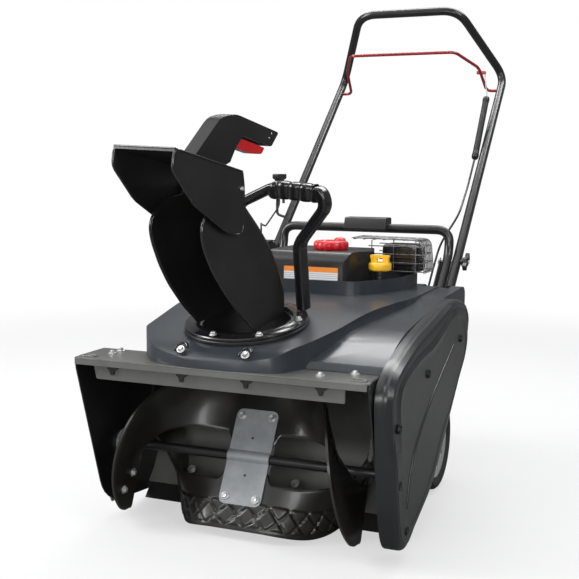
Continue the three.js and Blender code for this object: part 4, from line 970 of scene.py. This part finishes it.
oil_x, oil_y, _ = node_middle("oil_tube")
oil_base, oil_top = node_low("oil_tube", 2), node_high("oil_tube", 2)
filler_profile = [(0, oil_base), (11, oil_base), (11, oil_top - 9), (13, oil_top - 7), (13, oil_top - 1),
                  (12, oil_top), (0, oil_top)]
filler = lathe(filler_profile, "z", (oil_x, oil_y, 0), 40)
piece("oil_filler", [filler], "frame", "black_plastic", stands_for=("oil_tube",))
oil_z = node_low("oil_cap", 2)
DISC_PROFILE = [(0, 0), (21, 0), (24, 2), (24.5, 4), (24.5, 14), (23, 16.5), (18, 18), (0, 18)]
disc = lathe(DISC_PROFILE, "z", (oil_x, oil_y, oil_z), 72, knurl)
posts = [slab(oblong(x - 7, x + 7, oil_y - 5, oil_y + 5), "z", oil_z + 17, oil_z + 28.5, 2)
         for x in (oil_x - 13, oil_x + 13)]
bar = slab(oblong(oil_x - 21, oil_x + 21, oil_z + 27, oil_z + 33.5), "y", oil_y - 5.5, oil_y + 5.5, 2.4)
piece("oil_dipstick", [disc, *posts, bar], "oil_cap", "yellow_plastic", stands_for=("oil_cap",), edge=0.7)
print("caps made")

# %% [markdown]
# ## Muffler and its cage
# The muffler is a pressed steel box with soft corners, and a cage of thin bent wires keeps hands off it. A
# superellipsoid gives the box: each axis is a power of a sine or cosine. Modelling the cage wire by wire is
# worth its triangles, because the dark gaps between the wires are what the eye reads.

# %% Muffler and its cage
def pillow(low, high, power=0.28, rows=48, columns=96):
    """Signed powers of sines and cosines: centre plus half size times (C(u) C(v), C(u) S(v), S(u))."""
    low, high = np.asarray(low, float), np.asarray(high, float)
    u = np.linspace(-np.pi / 2, np.pi / 2, rows)[:, None]
    v = np.linspace(-np.pi, np.pi, columns, endpoint=False)[None, :]

    def soft(value):
        return np.sign(value) * np.abs(value) ** power

    x, y, z = soft(np.cos(u)) * soft(np.cos(v)), soft(np.cos(u)) * soft(np.sin(v)), soft(np.sin(u))
    unit = np.stack(np.broadcast_arrays(x, y, z), -1)
    return grid((low + high) / 2 + unit * (high - low) / 2, wrap_columns=True)


def low_high(node, shrink=0.0):
    low, high = [(np.array(corner) - ORIGIN) * 1000 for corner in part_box(node)]
    return low + shrink, high - shrink


muffler_low, muffler_high = low_high("muffler")


def rib_path(z):
    """Along the muffler's front, then back along its right side."""
    (left, front), (right, rear) = muffler_low[:2], muffler_high[:2]
    return rounded([(left + 6, front - 0.2, z), (right - 6, front - 0.2, z), (right + 0.2, front + 8, z),
                    (right + 0.2, rear - 8, z)], 8, 8)


ribs = [tube(rib_path(z), 2.2, 12) for z in (muffler_low[2] + 20, muffler_low[2] + 34)]
piece("muffler_shell", [pillow(muffler_low, muffler_high, 0.2), *ribs], "frame", "black_paint", gloss_black,
      stands_for=("muffler",), angle=60)
cage_low, cage_high = low_high("muffler_guard", 1.4)
WIRE = 1.25


def straight(first, last):
    """A straight wire between two points, with a middle point so that it has a direction."""
    first, last = np.array(first, float), np.array(last, float)
    return tube([first, (first + last) / 2, last], WIRE, 8)


cage = []
for y in np.linspace(cage_low[1] + 3, cage_high[1] - 3, 8):
    bent = rounded([(cage_low[0], y, cage_high[2]), (cage_high[0] - 7, y, cage_high[2] - 2),
                    (cage_high[0], y, cage_low[2])], 18, 8)
    cage.append(tube(bent, WIRE, 8, across=(0, 1, 0)))
for x in np.linspace(cage_low[0] + 6, cage_high[0] - 24, 7):
    cage.append(straight((x, cage_low[1], cage_high[2] - 2.4), (x, cage_high[1], cage_high[2] - 2.4)))
for share in (0.05, 0.30, 0.55, 0.78):
    z = cage_low[2] + share * (cage_high[2] - cage_low[2])
    x = cage_high[0] - 7 * share - 2.0
    cage.append(straight((x, cage_low[1], z), (x, cage_high[1], z)))
    cage.append(straight((cage_low[0] + 40, cage_low[1] + 2, z), (x, cage_low[1] + 2, z)))
    cage.append(straight((cage_low[0] + 40, cage_high[1] - 2, z), (x, cage_high[1] - 2, z)))
for x in np.linspace(cage_low[0] + 48, cage_high[0] - 20, 3):
    cage.append(straight((x, cage_low[1] + 2, cage_low[2]), (x, cage_low[1] + 2, cage_high[2] - 3)))
piece("muffler_cage", cage, "frame", "zinc_steel", black_zinc, stands_for=("muffler_guard",), angle=60)
print("cage wires", len(cage))

# %% [markdown]
# ## Cover label
# A small label sits on the cover's front. It could be an image, but a finish that reads the height does the
# same: an orange band at the top, and thin grey rules below, with no lettering.

# %% Cover label
LABEL_FRONT, LABEL_BAND, RULES_TURN = 235.2, 0.4655, 1500.0


def banded(name):
    """An orange band over a white block with faint grey rules and no lettering, cut by height."""
    material, shader, spot = new_material(name)
    height = spot.step("ShaderNodeSeparateXYZ", {}, {"Vector": spot}, "Z")
    band = height > LABEL_BAND
    phase = height * RULES_TURN
    rules = phase.maths("SINE", phase) > 0.55
    white = rules.mix(rgba((0.72, 0.73, 0.74)), rgba((0.42, 0.43, 0.46)))
    colour = band.mix(white, rgba((0.85, 0.26, 0.04)))
    wire(shader, Base_Color=colour, Roughness=0.35 + 0.1 * spot.noise(90.0), Coat_Weight=0.2)
    return material


label = slab(oblong(-55, 67, 432, 476), "y", LABEL_FRONT, LABEL_FRONT + 3, 2.5)
piece("cover_label", [label], "frame", "black_plastic", banded("plain label"), angle=30)
print("label front", LABEL_FRONT, "mm")

# %% [markdown]
# ## Recoil starter vents
# The recoil starter's round housing has a vented face. Two hoops and a ring of twelve spokes laid on the
# CAD housing give the vents' ribs without cutting the housing itself.

# %% Recoil starter vents
recoil_x, recoil_y, recoil_z = node_low("recoil_housing", 0), 322.0, 428.0
HOOP = np.array([(-2.2, 0), (-1.4, -2.4), (1.4, -2.4), (2.2, 0), (-2.2, 0)])
SPOKE = [(32, -2.5), (80, -4.5), (80, 4.5), (32, 2.5)]
vents = []
for radius in (14, 26):
    hoop = lathe(HOOP + (radius, 0), "x", (0, 0, 0), 64)
    vents.append(moved(hoop, None, (recoil_x + 0.4, recoil_y, recoil_z)))
for degrees in range(0, 360, 30):
    spoke = slab(SPOKE, "x", -1.6, 3.0, 1.5)
    vents.append(moved(spoke, turn("X", degrees), (recoil_x + 5.5, recoil_y, recoil_z)))
piece("recoil_vents", vents, "frame", "black_plastic", gloss_black, angle=30)
print("engine dressed")

# %% [markdown]
# ## Belt cover
# The cover is a deep moulded tray. Its outline is one closed curve, and its depth is a function of how far
# a point has moved inwards from that curve: a straight wall, a round shoulder, a low ridge along the edge,
# then a face that sinks a little towards its middle. The lower rear side and the top of the front fall away
# in broad facets. A long curved bead crosses the face, and each screw sits in a small ringed well.

# %% The tray
COVER_RIM = np.array([
    (-201, 322), (-176, 134), (-150, 46), (-108, 20), (-62, 22), (97, 68), (178, 125), (350, 268),
    (400, 305), (400, 350), (356, 404), (262, 424), (-29, 384), (-150, 352)], float)
COVER_INNER, COVER_OUTER, COVER_WALL, COVER_FACET = 284.6, 319.0, 3.0, 13.0


def closed_curve(corners, bend, count):
    """A closed outline with rounded corners, at even steps."""
    loop = np.vstack([corners[-1:], corners, corners[:1]])
    path = rounded(np.column_stack([loop, np.zeros(len(loop))]), bend, 10)[1:-1]
    return resampled(np.vstack([path, path[:1]]), count + 1)[:-1, :2]


def tray(rim, inner, outer, facet):
    """Each row moves every rim point towards the middle by its inset, and lifts it to its depth."""
    centre = np.array([90.0, 230.0])
    away = rim - centre
    reach = np.linalg.norm(away, axis=1)
    inset, depth = np.array([*inner, *outer], float).T
    share = np.clip(inset[:, None] / reach[None, :], 0, 0.96)
    flat = rim[None] - away[None] * share[..., None]
    low_rear = smooth(away[:, 0] * 0.58 - away[:, 1] * 0.81, 40, 110)
    crown = smooth(away[:, 1] * 0.86 - away[:, 0] * 0.50, 60, 120) * smooth(rim[:, 1], 150, 300)
    outside = (depth > COVER_INNER + 4) & (np.arange(len(depth)) >= len(inner))
    reach_in = np.clip(1 - inset / 34.0, 0, 1)
    fall = facet * (low_rear[None, :] + 1.3 * crown[None, :]) * reach_in[:, None] * outside[:, None]
    return grid(np.concatenate([(depth[:, None] - fall)[..., None], flat], -1), wrap_columns=True, caps=True)


cover_plastic = surface_finish("satin cover plastic", (0.010, 0.011, 0.012), (0.015, 0.016, 0.017), 0.30,
                               0.08, press=0.06, coat=0.1)
SHOULDER, TO_MIDDLE = 12, 2000
shoulder = [(SHOULDER * (1 - math.cos(a)), COVER_OUTER - SHOULDER * (1 - math.sin(a)))
            for a in np.linspace(0, math.pi / 2, 8)]
RIDGE = [(13, 0.1), (14.5, 1.0), (17, 1.0), (19.5, -0.4), (44, -0.6), (46, -1.4), (60, -1.8), (90, -2.2),
         (TO_MIDDLE, -2.2)]
ridge = [(inset, COVER_OUTER + rise) for inset, rise in RIDGE]
INSIDE = [(TO_MIDDLE, 6.6), (60, 6.4), (20, 4), (10, 5.5), (COVER_WALL, 14)]
inside = [*[(inset, COVER_OUTER - drop) for inset, drop in INSIDE], (COVER_WALL, COVER_INNER)]
cover_rim = closed_curve(COVER_RIM, 42, 240)
cover = tray(cover_rim, inside, [(0, COVER_INNER), *shoulder, *ridge], COVER_FACET)
piece("belt_cover_tray", [cover], "frame", "black_plastic", cover_plastic, stands_for=("belt_cover",),
      angle=26)
WELL_PROFILE = [(6.0, -2), (8.2, -2), (8.2, 1.3), (7.4, 2.0), (6.6, 1.3), (6.0, -0.5), (6.0, -2)]
cover_screws, cover_wells = [], []
for y, z in ((31, 311), (-158, 253), (-150, 153), (-100, 58), (300, 335)):
    cover_wells.append(lathe(WELL_PROFILE, "x", (COVER_OUTER - 0.4, y, z), 32))
    cover_screws += screw((COVER_OUTER - 1.6, y, z), (1, 0, 0), 6.5, 2.0, 5.6)
piece("cover_wells", cover_wells, "frame", "black_plastic", angle=30)
piece("cover_screws", cover_screws, "frame", "black_paint", angle=30)
contour = rounded([(COVER_OUTER - 2.6, y, z) for y, z in ((238, 330), (60, 258), (-70, 180), (-96, 96))],
                  60, 12)
contour_bead = tube(resampled(contour, 60), 2.4, 12)
piece("cover_contour", [contour_bead], "frame", "black_plastic", cover_plastic, angle=60)
print("cover rim points", len(cover_rim))

# %% [markdown]
# ## Wheels
# The tyre is a turned profile whose outer radius drops in slanted grooves, so the tread is real geometry.
# The groove's place round the wheel depends on the height along the axle, which makes a chevron.

# %% Tyres and rims
def tread(radius, angle, height):
    """Chevron grooves: a cosine of the turn, shifted by the distance from the tyre's middle."""
    wave = np.cos(26 * (angle + 0.006 * np.abs(height)))
    cut = smooth(-wave, 0.25, 0.6) * (radius > 96)
    return radius - 3.2 * cut


TYRE_SIDE = [(78, 8), (80, 5), (86, 0.8), (92, 0), (96.5, 2.5), (99.5, 6), (101, 10)]
for name, sign in (("left", -1), ("right", 1)):
    wheel = node_middle(f"tyre_{name}")
    half = 22.0
    side = [(r, rise - half) for r, rise in TYRE_SIDE]
    crown = [(101, h) for h in np.linspace(-half + 12, half - 12, 13)]
    other_side = [(r, -h) for r, h in reversed(side)]
    profile = [(76.6, -half + 8), *side, *crown, *other_side, (76.6, half - 8), (76.6, -half + 8)]
    tyre = lathe(profile, "x", wheel, 312, tread)
    piece(f"tyre_{name}_tread", [tyre], f"wheel_{name}", "tyre", stands_for=(f"tyre_{name}",), angle=40)
    hub = lathe([(8.5, 0), (19, 0), (22, 3), (22, 8), (17, 10), (8.5, 10), (8.5, 0)], "x", (0, 0, 0), 48)
    nut = screw((sign * 7, 0, 0), (sign, 0, 0), 15, 7, 11)
    flip = turn("Z", 0 if sign > 0 else 180)
    outer_face = wheel + np.array([sign * 14.0, 0, 0])
    piece(f"hub_cap_{name}", [moved(hub, flip, outer_face)], f"wheel_{name}", "rim_plastic", angle=35)
    piece(f"hub_nut_{name}", [moved(part, None, outer_face) for part in nut], f"wheel_{name}", "zinc_steel",
          angle=30)
print("wheels made")

# %% [markdown]
# ## Sheet metal details
# The housing's flange has a rolled front lip, embossed pads near its front corners and hex screws. Under
# it, four clip nuts hold the stiffener. More screws sit on the shroud's nose, low inside the housing and on
# its left side. Each is a small closed surface laid on the sheet, because an edge that catches light says
# more about folded steel than the flat face does.

# %% Flange, clips and bolts
TOP_Z, LIP_Z, SIDE_FACE = 338.0, 335.8, 282.2
NOSE_NORMAL = (0, -0.75, 0.66)
LIP = [(-279, -205), (-279, -217), (-266, -217), (252, -217), (279, -217), (279, -200)]
lip_path = [(x, y, LIP_Z) for x, y in LIP]
lip = tube(rounded(lip_path, 10, 8), 2.3, 14)
piece("flange_lip", [lip], "frame", "black_paint", painted_sheen_grey, angle=50)
pads = []
for sign in (-1, 1):
    outline = [(sign * 246, -206), (sign * 272, -206), (sign * 272, -192), (sign * 246, -192)]
    loop = closed_curve(np.array(outline, float), 4, 40)
    pad_path = np.column_stack([np.vstack([loop, loop[:2]]), np.full(42, TOP_Z + 0.7)])
    pads.append(tube(pad_path, 1.9, 10, across=(0, 0, 1)))
piece("flange_pads", pads, "frame", "black_paint", painted_sheen_grey, angle=50)
frame_screws = []
for x, y in ((-236, -159), (187, -187), (-236, -130), (236, -150)):
    frame_screws += screw((x, y, TOP_Z), (0, 0, 1), 9, 4, 8)
for x in (-62, 62):
    frame_screws += screw((x, -214 if x < 0 else -216, 368), NOSE_NORMAL, 9, 4.5, 7.5)
for x in (-168, -60, 60, 168):
    frame_screws += screw((x, 24, 72), (0, -0.72, 0.69), 10, 3, 9)
for y, z in ((-190, 300), (-150, 306), (-90, 34)):
    frame_screws += screw((-SIDE_FACE, y, z), (-1, 0, 0), 10, 4, 9)
piece("frame_screws", frame_screws, "frame", "zinc_steel", angle=30)
CLIP = [(-11, 325), (11, 325), (9, 320), (3, 317), (1, 309), (-4, 309), (-7, 318), (-11, 320)]
clips = [slab([(x + dx, z) for dx, z in CLIP], "y", -212, -207.2, 1.2) for x in (-203, -62, 62, 198)]
piece("clip_nuts", clips, "frame", "black_plastic", angle=30)
print("frame screws", len(frame_screws) // 2)

# %% [markdown]
# ## Deflector and trough edges
# The hood is one folded shape, and what separates its side panel from the chute behind is a thick rolled
# edge. A bead is carried along the panel's own outline on both sides, and another along the top edge. The
# trough's two front edges get a thicker bead, which follows the same stations as the trough itself.

# %% Rolled edges
HOOD_SIDE = [(-60, 290), (-221, 354.5), (-231, 324), (-190, 260), (-118, 200), (-88, 186.5), (-70, 189),
             (-59, 262), (-60, 288)]
hood_edges = []
for x in (-64.6, 64.6):
    outline = rounded([(x, y, z) for y, z in HOOD_SIDE], 12, 8)
    hood_edges.append(on_chute(tube(outline, 1.7, 12, across=(1, 0, 0))))
hood_edges.append(on_chute(tube([(-65, -220.5, 354.5), (0, -220.5, 354.5), (65, -220.5, 354.5)], 1.7, 12)))
piece("deflector_edges", hood_edges, "deflector", "black_plastic", gloss_black, angle=60)
trough_edges = []
for sign in (-1, 1):
    edge_points = [(sign * wide, front + 0.5, z) for z, wide, _, front, _ in STATIONS]
    trough_edges.append(on_chute(tube(resampled(rounded(edge_points, 14, 6), 70), 2.4, 12, across=(1, 0, 0))))
piece("trough_edges", trough_edges, "chute", "black_plastic", gloss_black, angle=60)
print("edges", len(hood_edges) + len(trough_edges))

# %% [markdown]
# ## Shroud pockets
# The shroud's nose has two screws, each in a moulded pocket. A real pocket would be cut into the CAD shape;
# instead a dark crescent laid round half of each screw is painted shadow: the pocket's shadow line in a few
# faces.

# %% Screw pockets
pocket_shadows = []
for x, y in ((-62, -214), (62, -216)):
    arc = np.radians(np.linspace(20, 200, 24))
    ring_points = np.stack([11 * np.cos(arc), 13 * np.sin(arc), np.zeros_like(arc)], -1)
    crescent = tube(ring_points, 2.6, 12, across=(0, 0, 1))
    pocket_shadows.append(moved(crescent, facing(NOSE_NORMAL), (x, y + 1.5, 369)))
# Gloss black crescents on the blue grey shroud: painted shadow where each pocket's shade falls.
piece("shroud_pocket_shadows", pocket_shadows, "frame", "shroud_plastic", gloss_black, angle=50)
print("pocket_shadows", len(pocket_shadows))

# %% [markdown]
# ## Plain steel and small drive pieces
# The remaining nodes already have the right shape. Each gets a finish from its slot, and its edges are
# broken by a small bevel, because a sheet's edge is only seen through the thin line of light that it
# catches.

# %% Bevelled copies of the remaining nodes
done = {name for item in bpy.data.objects if "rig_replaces" in item for name in item["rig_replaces"]}
EDGES = {"auger_housing": 0.8, "side_plate_left": 0.9, "side_plate_right": 0.9, "shroud": 5.0,
         "engine_cover": 4.0, "control_box": 5.0, "starter_grip": 3.0, "recoil_housing": 1.2,
         "engine_block": 1.5}
# The housing and its stiffener get the pale grey of painted sheen in place of their black paint.
LOOKS = {"auger_housing": painted_sheen_grey, "front_stiffener": painted_sheen_grey}
for node in sorted(set(frame["nodes"]) - done):
    softened(node, EDGES.get(node, 0.5), LOOKS.get(node))
print("bevelled copies", len(frame["nodes"]) - len(done))

# %% [markdown]
